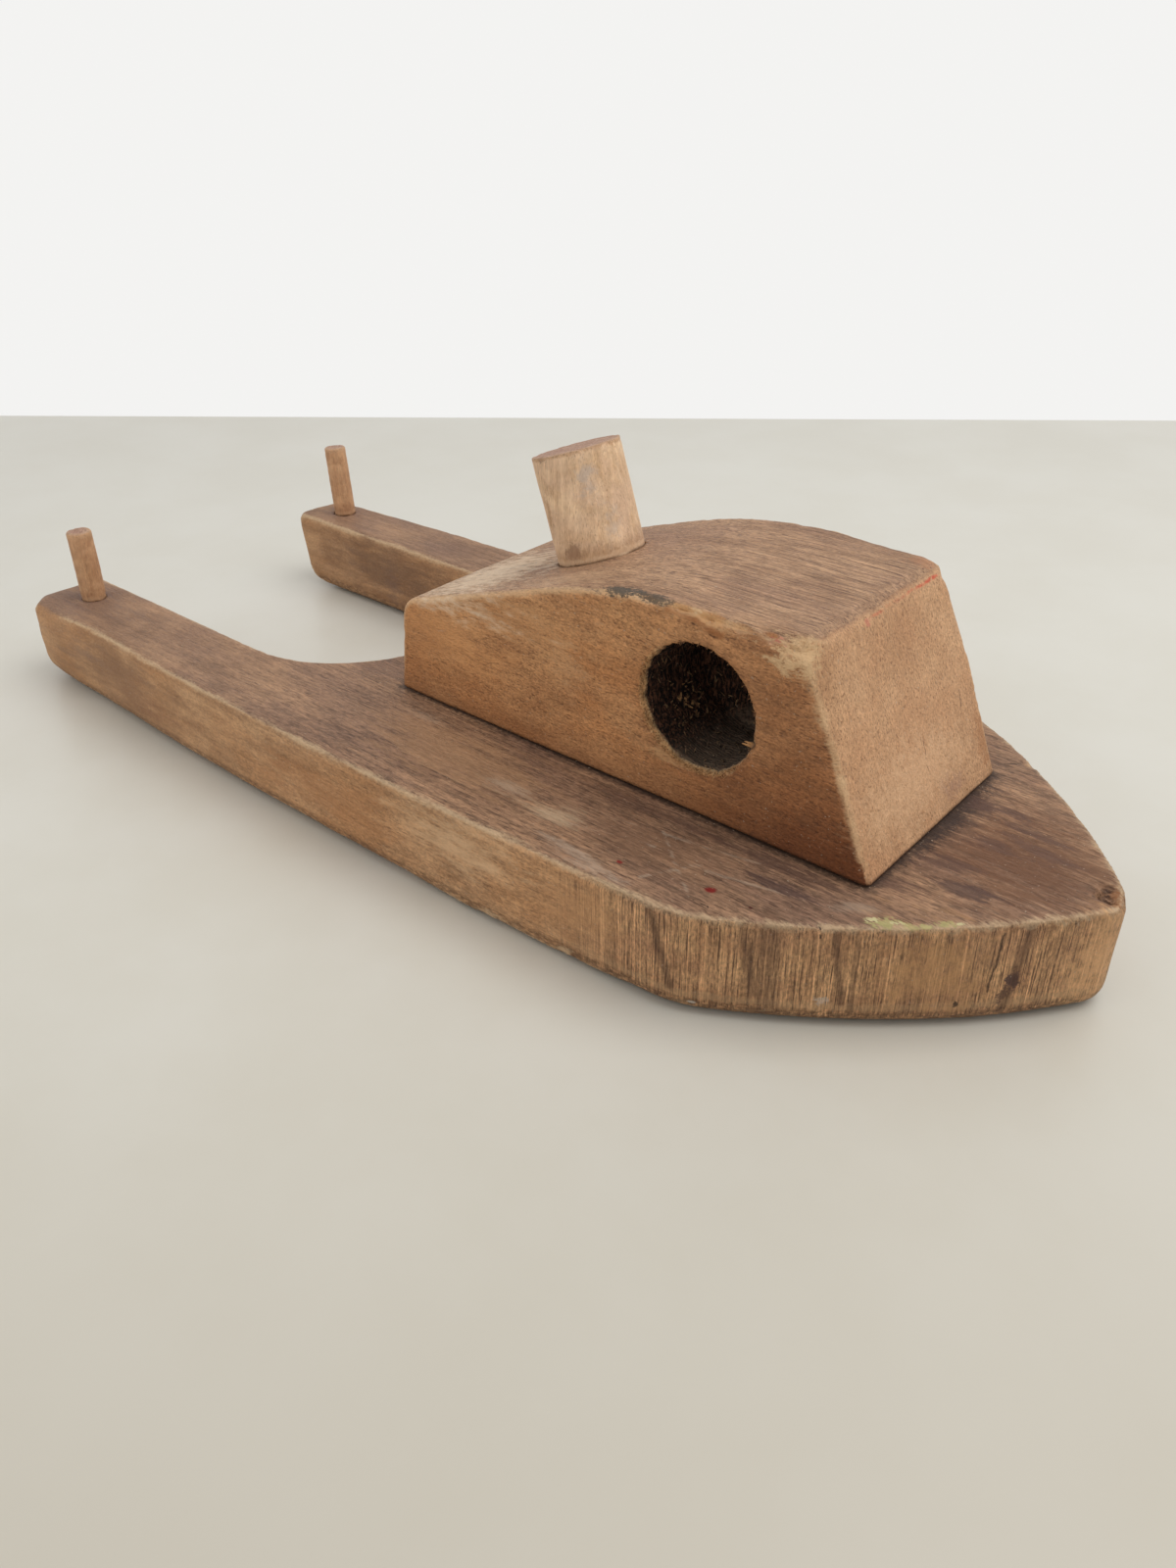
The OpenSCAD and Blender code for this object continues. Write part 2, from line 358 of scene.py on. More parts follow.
    def rubbed(self, colour: Plug, ripple: NodeSocket, grit: NodeSocket, worn: Colour,
               share: float) -> NodeSocket:
        """Rubs the outer edges pale in patches, and lays torn wood bare.

        Args:
            colour: The colour below.
            ripple: Noise that breaks the rubbed line up.
            grit: Finer noise for the same.
            worn: Colour of a rubbed edge.
            share: How far it shows.

        Returns:
            The colour with the wear.
        """
        noisy = self.add(self.times(ripple, 1.5), self.times(grit, 0.9))
        rub = self.add(self.times(self.attribute("wear"), 0.8), noisy)
        colour = self.tint(colour, worn, self.step(rub, 1.4, 2.1), share)
        torn = self.add(self.attribute("torn"), self.times(grit, 0.4))
        return self.tint(colour, TORN_WOOD, self.step(torn, 0.35, 0.9), 0.75)

    def finish(self, colour: Plug, rough: Plug, height: NodeSocket, metal: float = 0.0,
               gloss: float = 0.35) -> Material:
        """Ends the material in a shader with bumps.

        Args:
            colour: Base colour.
            rough: Roughness.
            height: Height of the surface, in millimetres.
            metal: Metallic share.
            gloss: Specular level.

        Returns:
            The finished material.
        """
        bump = self.node("ShaderNodeBump")
        for name, value in (("Strength", 1.0), ("Distance", MM), ("Height", height)):
            self.feed(bump.inputs[name], value)
        shader = self.node("ShaderNodeBsdfPrincipled")
        for name, value in (("Base Color", colour), ("Roughness", rough), ("Metallic", metal),
                            ("Specular IOR Level", gloss), ("Normal", bump.outputs["Normal"])):
            self.feed(shader.inputs[name], value)
        out = self.node("ShaderNodeOutputMaterial")
        self.feed(out.inputs["Surface"], shader.outputs["BSDF"])
        return self.material


@dataclass(frozen=True)
class Spot:
    """A stain, smear or scuff: an ellipsoid whose edge is ragged."""

    at: Place
    reach: Place
    colour: Colour
    strength: float = 0.8
    turn: float = 0.0
    ragged: float = 0.5
    gritty: float = 0.0
    soft: float = 0.5

    def lay(self, graph: Graph, under: Plug, ripple: NodeSocket, grit: NodeSocket) -> NodeSocket:
        """Paints the spot over a colour.

        Args:
            graph: The material's nodes.
            under: The colour below it.
            ripple: Noise that frays its edge.
            grit: Finer noise that breaks it up.

        Returns:
            The colour with the spot.
        """
        place = graph.placed(graph.point, self.at, (0, 0, self.turn), self.reach)
        far = graph.add(graph.vector("LENGTH", place), graph.times(ripple, self.ragged * 2))
        if self.gritty:
            far = graph.add(far, graph.times(grit, self.gritty * 2))
        edge = 1.0 + self.ragged + self.gritty
        mask = graph.step(far, edge, edge - self.soft)
        return graph.tint(under, self.colour, mask, self.strength)


@dataclass(frozen=True)
class Stroke:
    """A crack, scratch or streak between two places."""

    start: Place
    end: Place
    width: float
    colour: Colour
    strength: float = 0.8
    soft: float = 0.5
    broken: float = 0.0

    def lay(self, graph: Graph, under: Plug, wobbly: NodeSocket, ripple: NodeSocket) -> NodeSocket:
        """Paints the stroke over a colour.

        Args:
            graph: The material's nodes.
            under: The colour below it.
            wobbly: Places moved a little, so that the stroke isn't straight.
            ripple: Noise that breaks it up.

        Returns:
            The colour with the stroke.
        """
        run = Vector(self.end) - Vector(self.start)
        away = graph.vector("SUBTRACT", wobbly, self.start)
        along = graph.vector("DOT_PRODUCT", away, tuple(run / run.length_squared))
        held = graph.math("ADD", along, 0.0, clamp=True)
        gap = graph.vector("DISTANCE", away, graph.vector("SCALE", tuple(run), scale=held))
        mask = graph.step(gap, self.width * (1 + self.soft), self.width * (1 - self.soft))
        if self.broken:
            mask = graph.times(mask, graph.step(ripple, self.broken - 0.06, self.broken + 0.06))
        return graph.tint(under, self.colour, mask, self.strength)


def tone(at: Place, reach: Place, colour: Colour, strength: float, ragged: float = 1.2) -> Spot:
    """A broad, soft change of the wood's colour."""
    return Spot(at, reach, colour, strength, ragged=ragged, soft=0.9)


def stain(x: float, y: float, long: float, wide: float, strength: float, turn: float,
          ragged: float = 1.6) -> Spot:
    """A dark stain along the grain of the deck."""
    return Spot((x, y, DECK_Z), (long, wide, 5), DARK_STAIN, strength, turn, ragged, 0.4, 0.7)


def scratch(start: tuple[float, float], end: tuple[float, float], width: float, strength: float,
            broken: float) -> Stroke:
    """A pale scratch on the deck."""
    return Stroke((*start, DECK_Z), (*end, DECK_Z), width, DUST, strength, 0.9, broken)


@dataclass(frozen=True)
class Skin:
    """One kind of wooden face: its colours and the sizes of its markings."""

    pale: Colour
    deep: Colour
    tint: Colour
    pore: Colour
    streak: Place = (60.0, 3.0, 3.0)
    patch: float = 15.0
    line: Place = (22.0, 1.6, 1.6)
    line_strength: float = 0.4
    fleck: Place = (1.2, 0.4, 0.4)
    fleck_strength: float = 0.25
    pore_size: Place = (3.0, 0.24, 0.24)
    pore_share: float = 0.5
    pore_strength: float = 0.6
    groove: float = 0.08
    turn: Place = (0.0, 0.0, 0.0)

    def lay(self, graph: Graph, keep: Plug = 1.0) -> tuple[NodeSocket, NodeSocket]:
        """Draws the face's grain.

        Args:
            graph: The material's nodes.
            keep: How much of the fine markings shows.

        Returns:
            Its colour, and the height of its grain in millimetres.
        """
        streak = graph.step(graph.grainy(self.streak, turn=self.turn), 0.3, 0.7)
        wide = (self.patch * 1.5, self.patch, self.patch)
        patch = graph.step(graph.grainy(wide, (31, 7, 3), self.turn, 5.0, 0.66), 0.37, 0.63)
        light = graph.add(graph.times(streak, 0.35), graph.times(patch, 0.65))
        colour = graph.mix(light, self.deep, self.pale)
        hue = graph.grainy((self.patch * 2.6, self.patch * 1.3, self.patch * 1.3), (71, 43, 29),
                           self.turn, 3.0, 0.6)
        colour = graph.tint(colour, self.tint, graph.step(hue, 0.42, 0.68), 0.6)
        line = graph.step(graph.grainy(self.line, (3, 11, 19), self.turn, 6.0, 0.76), 0.34, 0.66)
        fleck = graph.step(graph.grainy(self.fleck, (23, 1, 6), self.turn, 2.0, 0.6), 0.3, 0.7)
        shade = graph.add(graph.times(line, self.line_strength), graph.times(fleck, self.fleck_strength))
        middle = (self.line_strength + self.fleck_strength) / 2
        shade = graph.times(graph.less(shade, middle), keep)
        colour = graph.mix(1.0, colour, graph.add(shade, 1.0), Blend.SHADE)
        noisy = graph.grainy(self.pore_size, (5, 2, 9), self.turn, 1.0, 0.5)
        low = 0.76 - 0.3 * self.pore_share
        pore = graph.times(graph.step(noisy, low, low + 0.07), keep)
        colour = graph.tint(colour, self.pore, pore, self.pore_strength)
        height = graph.less(graph.times(fleck, FLECK_DEPTH), graph.times(pore, FLECK_DEPTH))
        return colour, graph.add(height, graph.times(line, keep, self.groove))


# Height of the flecks and depth of the pores, in millimetres
FLECK_DEPTH = 0.06

# Looks of the wooden faces
DECK = Skin(Colour(168, 131, 101), Colour(128, 97, 75), Colour(128, 98, 81), Colour(74, 50, 40),
            line=(20.0, 1.3, 1.3), line_strength=0.56, fleck=(1.6, 0.5, 0.5),
            fleck_strength=0.5, pore_size=(4.5, 0.3, 0.3), pore_share=0.54, pore_strength=0.62)
FLANK = Skin(Colour(200, 157, 116), Colour(160, 119, 83), Colour(176, 126, 82),
             Colour(100, 70, 48), patch=11.0, line=(14.0, 1.4, 1.4), line_strength=0.4,
             fleck=(0.9, 0.6, 0.6), fleck_strength=0.4, pore_size=(2.6, 0.3, 0.3),
             pore_share=0.42, pore_strength=0.5)
UNDERSIDE = Skin(Colour(158, 124, 92), Colour(116, 86, 62), Colour(120, 90, 74),
                 Colour(70, 50, 38), line=(24.0, 1.8, 1.8), line_strength=0.5, pore_share=0.55)
SAWN_BOW = Skin(Colour(232, 182, 132), Colour(184, 136, 97), Colour(182, 134, 100),
                Colour(84, 58, 42), streak=(2.0, 2.0, 60.0), patch=8.0, line=(0.45, 0.45, 70.0),
                line_strength=0.85, fleck=(0.4, 0.4, 1.0), fleck_strength=0.55,
                pore_size=(0.26, 0.26, 9.0), pore_share=0.57, pore_strength=0.78, groove=0.24)
CABIN_SIDE = Skin(Colour(204, 151, 103), Colour(170, 120, 79), Colour(190, 129, 79),
                  Colour(104, 66, 43), streak=(60.0, 5.0, 5.0), patch=10.0,
                  line=(14.0, 1.4, 1.4), line_strength=0.28, fleck=(0.6, 0.4, 0.4),
                  fleck_strength=0.46, pore_size=(1.6, 0.3, 0.3), pore_share=0.47,
                  pore_strength=0.58, turn=(0.0, 3.0, 0.0))
ROOF = Skin(Colour(188, 149, 116), Colour(152, 116, 88), Colour(158, 122, 98),
            Colour(92, 64, 50), streak=(50.0, 2.4, 2.4), patch=12.0, line=(16.0, 0.8, 0.8),
            line_strength=0.42, fleck=(1.0, 0.4, 0.4), fleck_strength=0.36,
            pore_size=(9.0, 0.24, 0.24), pore_share=0.61, pore_strength=0.7)
# End grain of the cabin's front, its colours also painted paler as painted light on the face turned to
# the light
CABIN_END_WITH_PAINTED_LIGHT = Skin(Colour(212, 167, 126), Colour(186, 141, 103), Colour(198, 148, 108),
                 Colour(128, 88, 60), streak=(9.0, 9.0, 26.0), patch=12.0,
                 line=(0.9, 0.9, 8.0), line_strength=0.17, fleck=(0.36, 0.36, 0.9),
                 fleck_strength=0.34, pore_size=(0.28, 0.28, 1.0), pore_share=0.48,
                 pore_strength=0.62)
DOWEL_SIDE = Skin(Colour(250, 216, 178), Colour(218, 179, 138), Colour(222, 186, 156),
                  Colour(150, 112, 82), streak=(1.8, 1.8, 30.0), patch=6.0,
                  line=(1.2, 1.2, 26.0), line_strength=0.24, fleck=(0.3, 0.3, 1.4),
                  fleck_strength=0.14, pore_size=(0.2, 0.2, 2.6), pore_share=0.38,
                  pore_strength=0.4)
DOWEL_END = Skin(Colour(200, 180, 168), Colour(164, 142, 134), Colour(152, 132, 134),
                 Colour(106, 80, 72), streak=(2.5, 2.5, 2.5), patch=4.0, line=(0.7, 0.7, 0.7),
                 line_strength=0.3, fleck=(0.7, 0.7, 0.7), pore_size=(0.4, 0.4, 0.4),
                 pore_share=0.5, pore_strength=0.4)
PEG_SIDE = Skin(Colour(220, 174, 132), Colour(182, 136, 98), Colour(192, 144, 108),
                Colour(108, 76, 54), streak=(1.2, 1.2, 24.0), patch=4.0, line=(1.1, 1.1, 20.0),
                line_strength=0.2, fleck=(0.4, 0.4, 1.6), fleck_strength=0.14,
                pore_size=(0.24, 0.24, 2.4), pore_share=0.34, pore_strength=0.35)


class Finish:
    """A material that is drawn from skins, spots, strokes and wear."""

    name = "wood"
    spots: tuple[Spot, ...] = ()
    strokes: tuple[Stroke, ...] = ()
    paint: tuple[Spot | Stroke, ...] = ()
    worn = Colour(190, 158, 126)
    worn_share = 0.5
    ripple_size: Place = (2.6, 2.6, 2.6)

    def skins(self, graph: Graph) -> tuple[NodeSocket, NodeSocket]:
        """Draws the bare wood: its colour and its height."""
        raise NotImplementedError

    def grime_and_shade(self, graph: Graph) -> NodeSocket:
        """Mask of the grime and painted shade in corners."""
        raise NotImplementedError

    def build(self) -> Material:
        """Draws the whole material.

        Returns:
            The material.
        """
        graph = Graph(self.name)
        colour, height = self.skins(graph)
        ripple = graph.grainy(self.ripple_size, (13, 5, 8), detail=4.0, rough=0.65)
        grit = graph.grainy((0.9, 0.5, 0.5), (2, 4, 6), detail=3.0, rough=0.7)
        wobbly = graph.vector("ADD", graph.point, graph.wobble(2.5, 0.6))
        for spot in self.spots:
            colour = spot.lay(graph, colour, ripple, grit)
        for stroke in self.strokes:
            colour = stroke.lay(graph, colour, wobbly, ripple)
        colour = graph.rubbed(colour, ripple, grit, self.worn, self.worn_share)
        for mark in self.paint:
            noises = (ripple, grit) if isinstance(mark, Spot) else (wobbly, ripple)
            colour = mark.lay(graph, colour, *noises)
        # Grime and painted shade in the corners where the parts meet, with dust specks along it
        grime_and_shade = self.grime_and_shade(graph)
        colour = graph.tint(colour, GRIME_AND_SHADE, grime_and_shade, 0.88)
        crumb = graph.grainy(0.6, (6, 1, 3), detail=1.0)
        colour = graph.tint(colour, DUST, graph.step(crumb, 0.72, 0.76), 0.5)
        colour = graph.tint(colour, DUST, graph.step(grime_and_shade, 0.1, 0.5), graph.step(crumb, 0.69, 0.73), 0.5)
        shade = graph.add(graph.times(grit, 0.4), 0.8)
        colour = graph.mix(1.0, colour, shade, Blend.SHADE)
        height = graph.add(height, graph.times(ripple, 0.10), graph.times(grit, 0.08))
        rough = graph.add(graph.times(ripple, 0.22), 0.5, graph.times(graph.attribute("bored"), 0.4))
        return graph.finish(colour, rough, height, gloss=0.3)


class HullFinish(Finish):
    """The plank: greyed deck, tan sides, saw marks on the bow, stains, grime with painted shade, and
    paint.
    """

    name = "aged_plank_wood"
    worn = Colour(206, 176, 140)
    worn_share = 0.75
    ripple_size = (11.0, 1.8, 2.4)
    spots = (
        # Tones of the deck, and the grime ahead of the cabin, with painted shade in the crease along its
        # front
        # A paler patch beside the cabin: partly the deck's tone, partly painted light that lifts the
        # cabin's cast shadow
        Spot((12.0, -38.0, 23), (36, 12, 5), Colour(176, 136, 100), 0.55, 2, 1.2, 0, 0.8),
        Spot((66.0, -38.0, 23), (24, 8, 5), Colour(134, 100, 76), 0.5, 8, 1.2, 0, 0.8),
        tone((121.0, 3.0, 23), (26, 26, 5), Colour(106, 68, 42), 0.78, 1.0),
        Spot((105.6, 9.0, 23), (5.5, 17, 3), Colour(74, 55, 48), 0.7, 0, 1.0, 0.5, 0.9),
        Spot((104.2, 4.0, 23), (2.8, 26, 2), Colour(50, 38, 34), 0.8, 0, 0.8, 0.9, 0.8),
        # Dark stains along the grain of the deck
        stain(104.0, 14.7, 12, 3.2, 0.7, 8),
        stain(119.5, 11.0, 8, 2.6, 0.6, -6),
        stain(121.5, 5.7, 9, 2.6, 0.5, -10),
        stain(113.3, 2.9, 7, 2.4, 0.6, 4),
        stain(109.2, -8.7, 8, 3, 0.7, 12),
        Spot((116.0, -13.6, 23), (7, 2.4, 5), Colour(70, 52, 50), 0.65, 10, 1.6, 0.5, 0.7),
        stain(104.6, -20.2, 9, 3, 0.6, 8),
        Spot((91.0, -33.6, 23), (8, 2.6, 5), Colour(66, 48, 48), 0.65, 12, 1.6, 0.5, 0.7),
        stain(89.0, -28.8, 16, 3, 0.6, 4, 1.5),
        stain(58.0, -29.0, 22, 2.6, 0.45, 2, 1.4),
        stain(95.0, 22.5, 9, 4, 0.5, 0, 1.5),
        # The darker ends of the arms
        tone((-122.0, -44.0, 23), (24, 12, 5), Colour(118, 92, 78), 0.6, 0.9),
        tone((-126.0, -43.0, 23), (9, 7, 5), Colour(100, 74, 68), 0.5, 0.9),
        tone((-124.0, 46.0, 23), (10, 8, 5), Colour(116, 88, 80), 0.5, 0.9),
        # Rubbed and dusty places of the deck
        Spot((45.0, -41.7, 23), (8, 4.5, 3), Colour(204, 178, 146), 0.6, 10, 1.2, 0.6, 1.1),
        Spot((31.0, -40.4, 23), (9, 3, 3), DUST, 0.45, 0, 1.2, 0.6, 1.1),
        Spot((-4.0, -30.6, 23), (8, 2.2, 3), DUST, 0.5, 0, 1.0, 0.6, 1.1),
        Spot((58.0, -49.4, 23), (14, 2.2, 3), Colour(196, 172, 150), 0.55, -6, 1.2, 0.6, 0.9),
        Spot((104.2, -30.0, 23), (6, 2, 2), DUST, 0.35, 38, 1.2, 0.6, 0.9),
        # The sawn bow
        tone((139.0, -3.0, 12.0), (10, 8, 14), Colour(248, 194, 140), 0.8),
        tone((116.0, -25.0, 12.0), (20, 10, 12), Colour(218, 166, 114), 0.7),
        Spot((128.4, -15.3, 10.4), (1.6, 1.6, 2.6), Colour(70, 48, 56), 0.85, 0, 1.6, 0.8),
        Spot((127.4, -16.6, 6.4), (1.2, 1.2, 2.6), Colour(84, 58, 52), 0.7, 0, 1.6, 0.8),
        Spot((103.8, -37.9, 6.5), (1.8, 1.8, 1.0), CHALK, 0.5, 0, 1.2, 1.0),
        Spot((121.6, -22.4, 5.6), (0.6, 0.6, 0.9), CRACK, 0.85, 0, 0.6, 0.4),
        # The plank's other sides
        tone((-10.0, -55.5, 12.0), (42, 3, 9), Colour(178, 122, 76), 0.45),
        tone((-80.0, -53.5, 9.0), (16, 3, 6), Colour(168, 104, 66), 0.4, 1.4),
        tone((-96.0, -54.0, 12.0), (40, 5, 15), Colour(136, 100, 73), 0.65, 1.0),
        tone((-112.0, -53.0, 15.0), (14, 3, 6), Colour(148, 118, 98), 0.5, 1.4),
        Spot((34.0, -55.5, 16.0), (26, 3, 9), Colour(226, 186, 144), 0.7, 0, 1.4, 0.5, 0.9),
        tone((62.0, -53.0, 14.0), (12, 3, 9), Colour(190, 138, 92), 0.45),
        tone((-112.0, 38.0, 12.0), (5, 3, 8), Colour(160, 132, 120), 0.5, 1.4),
        tone((-92.0, 36.5, 10.0), (5, 3, 8), Colour(158, 130, 116), 0.5, 1.4),
        # The darker inner face of the port arm, towards the bay: painted shade on the face turned from
        # the light
        tone((-92.0, 36.0, 13.0), (46, 5, 15), Colour(108, 79, 60), 0.7, 0.7),
    )
    strokes = (
        # Dark streaks down the sawn bow
        Stroke((76.1, -52.2, 21.7), (80.2, -51.5, 5.7), 0.8, Colour(92, 64, 46), 0.65, 0.8),
        Stroke((90.9, -45.6, 22.8), (93.7, -44.6, 6.9), 0.9, Colour(96, 68, 50), 0.5, 0.8),
        Stroke((95.0, -43.0, 22.0), (95.6, -42.6, 3.0), 2.2, Colour(108, 78, 58), 0.5, 0.8),
        Stroke((104.5, -37.2, 22.1), (106.5, -35.9, 6.0), 0.7, Colour(86, 60, 44), 0.65, 0.8),
        Stroke((107.6, -35.0, 22.1), (107.8, -34.8, 4.0), 0.5, Colour(86, 60, 44), 0.5, 0.8),
        Stroke((129.4, -14.4, 22.0), (127.8, -16.2, 3.0), 0.9, Colour(100, 70, 52), 0.6, 0.8),
        # Scratches on the deck
        scratch((52.0, -36.0), (84.0, -30.0), 0.3, 0.4, 0.5),
        scratch((40.0, -44.0), (66.0, -38.0), 0.3, 0.4, 0.5),
        scratch((70.0, -47.0), (76.0, -37.0), 0.4, 0.45, 0.48),
        scratch((64.0, -33.0), (80.0, -46.0), 0.3, 0.4, 0.48),
        scratch((78.0, -38.0), (96.0, -34.0), 0.35, 0.4, 0.5),
    )
    paint = (
        # Drops of red paint
        Spot((64.1, -45.9, 23), (0.95, 0.6, 1), RED_PAINT, 0.9, 0, 0.5, 0.3),
        Spot((81.9, -42.2, 23), (1.25, 0.95, 1), RED_PAINT, 0.95, 20, 0.5, 0.3),
        Spot((90.2, -41.9, 23), (0.55, 0.45, 1), Colour(74, 20, 18), 0.8, 0, 0.3, 0.15),
        # Yellowish smears along the deck's edge at the bow
        Spot((110.0, -30.6, 22.8), (3.4, 1.5, 1.3), SMEAR, 0.75, 38, 1.0, 1.4, 0.7),
        Spot((107.9, -31.2, 22.9), (1.3, 0.8, 1.0), PALE_SMEAR, 0.7, 38, 0.8, 1.4, 0.6),
        Spot((111.6, -29.5, 23.0), (1.6, 0.6, 0.8), PALE_SMEAR, 0.6, 30, 0.8, 1.4, 0.7),
        Spot((113.6, -28.9, 22.6), (2.4, 0.9, 0.9), SMEAR, 0.55, 38, 1.2, 1.0, 0.8),
        Spot((115.9, -26.9, 22.8), (1.4, 0.8, 0.8), SMEAR, 0.7, 40, 0.9, 1.4, 0.7),
        Spot((118.2, -24.2, 22.9), (2.3, 1.0, 0.8), SMEAR, 0.7, 42, 0.9, 1.4, 0.7),
        Spot((119.8, -22.6, 22.9), (1.1, 0.5, 0.5), PALE_SMEAR, 0.7, 42, 0.8, 1.4, 0.6),
        # A pale chip and fine cracks
        Spot((84.1, -49.9, 3.1), (1.1, 1.1, 0.5), CHALK, 0.9, 0, 0.6, 0.5),
        Stroke((126.2, -18.0, 21.0), (125.4, -18.8, 8.0), 0.2, CRACK, 0.7),
        Stroke((81.1, -46.6, 23.0), (84.3, -46.4, 23.0), 0.12, CRACK, 0.8),
        Stroke((84.3, -46.4, 23.0), (87.7, -48.1, 20.6), 0.18, CRACK, 0.85),
        Stroke((98.6, -37.6, 23.0), (101.8, -38.2, 23.0), 0.12, CRACK, 0.8),
        Stroke((101.8, -38.2, 23.0), (102.6, -38.8, 20.4), 0.18, CRACK, 0.85),
        Stroke((103.0, 32.0, 23.0), (107.2, 34.8, 22.9), 0.18, CRACK, 0.8),
        # The knot at the tip of the bow
        Spot((137.0, 1.8, 22.8), (2.8, 3.8, 2.4), Colour(150, 98, 58), 0.8, 0, 0.8, 1.2, 0.8),
        Spot((136.0, 1.2, 22.6), (2.2, 1.7, 2.6), Colour(54, 32, 20), 0.95, 18, 0.5, 0.7, 0.6),
        Spot((135.2, 3.4, 22.8), (1.8, 1.0, 1.8), Colour(54, 32, 20), 0.9, 60, 0.5, 0.7, 0.6),
        Stroke((131.5, -1.4, 23.0), (135.0, -0.6, 22.8), 0.2, CRACK, 0.7, 0.6, 0.42),
    )

    def skins(self, graph: Graph) -> tuple[NodeSocket, NodeSocket]:
        """Draws the deck, the sides, the sawn bow and the underside.

        Args:
            graph: The material's nodes.

        Returns:
            Colour and height.
        """
        x, z = graph.part(graph.point, Axis.X), graph.part(graph.point, Axis.Z)
        handled = graph.add(graph.times(graph.step(x, -110, 20), 0.6), 0.4)
        deck, deck_height = DECK.lay(graph, handled)
        flank, flank_height = FLANK.lay(graph, handled)
        bow, bow_height = SAWN_BOW.lay(graph)
        forward = graph.step(graph.add(x, graph.times(graph.grainy((8, 8, 30)), 18.0)), 58, 84)
        side = graph.mix(forward, flank, bow)
        side_height = graph.mix(forward, flank_height, bow_height)
        speck = graph.grainy((1.4, 1.4, 0.7), detail=3.0)
        keel = graph.add(z, graph.times(speck, 3.0))
        side = graph.tint(side, Colour(206, 168, 126), graph.step(keel, 5.4, 6.2),
                          graph.step(keel, 8.0, 6.8), forward, 0.4)
        # A darker band round the lower edge of the sides: partly dark specks, partly painted shade along
        # the edge by the floor
        side = graph.tint(side, Colour(92, 64, 44), graph.step(keel, 6.4, 5.0),
                          graph.step(speck, 0.35, 0.6), 0.62)
        rise = graph.part(graph.normal, Axis.Z)
        up = graph.step(graph.add(rise, graph.times(graph.grainy(3), 0.3)), 0.7, 1.0)
        down = graph.step(rise, -0.8, -0.95)
        bottom, _ = UNDERSIDE.lay(graph)
        colour = graph.mix(down, graph.mix(up, side, deck), bottom)
        height = graph.mix(up, side_height, deck_height)
        return colour, height

    def grime_and_shade(self, graph: Graph) -> NodeSocket:
        """Grime and painted shade on the deck round the cabin's foot.

        Args:
            graph: The material's nodes.

        Returns:
            The mask.
        """
        middle = (CABIN_FRONT_X + CABIN_REAR_X) / 2
        spans = ((Axis.X, middle, CABIN_FRONT_X - middle), (Axis.Y, CENTRE_Y, CABIN_HALF_W))
        beyond = [graph.less(graph.math("ABSOLUTE", graph.less(graph.part(graph.point, axis), centre)),
                             half) for axis, centre, half in spans]
        speck = graph.grainy(1.0, (1, 8, 5), detail=3.0)
        near = graph.add(graph.most(*beyond), graph.times(speck, 3.6))
        high = graph.step(graph.part(graph.point, Axis.Z), 20, 22)
        return graph.times(graph.step(near, 3.6, 1.2), high)


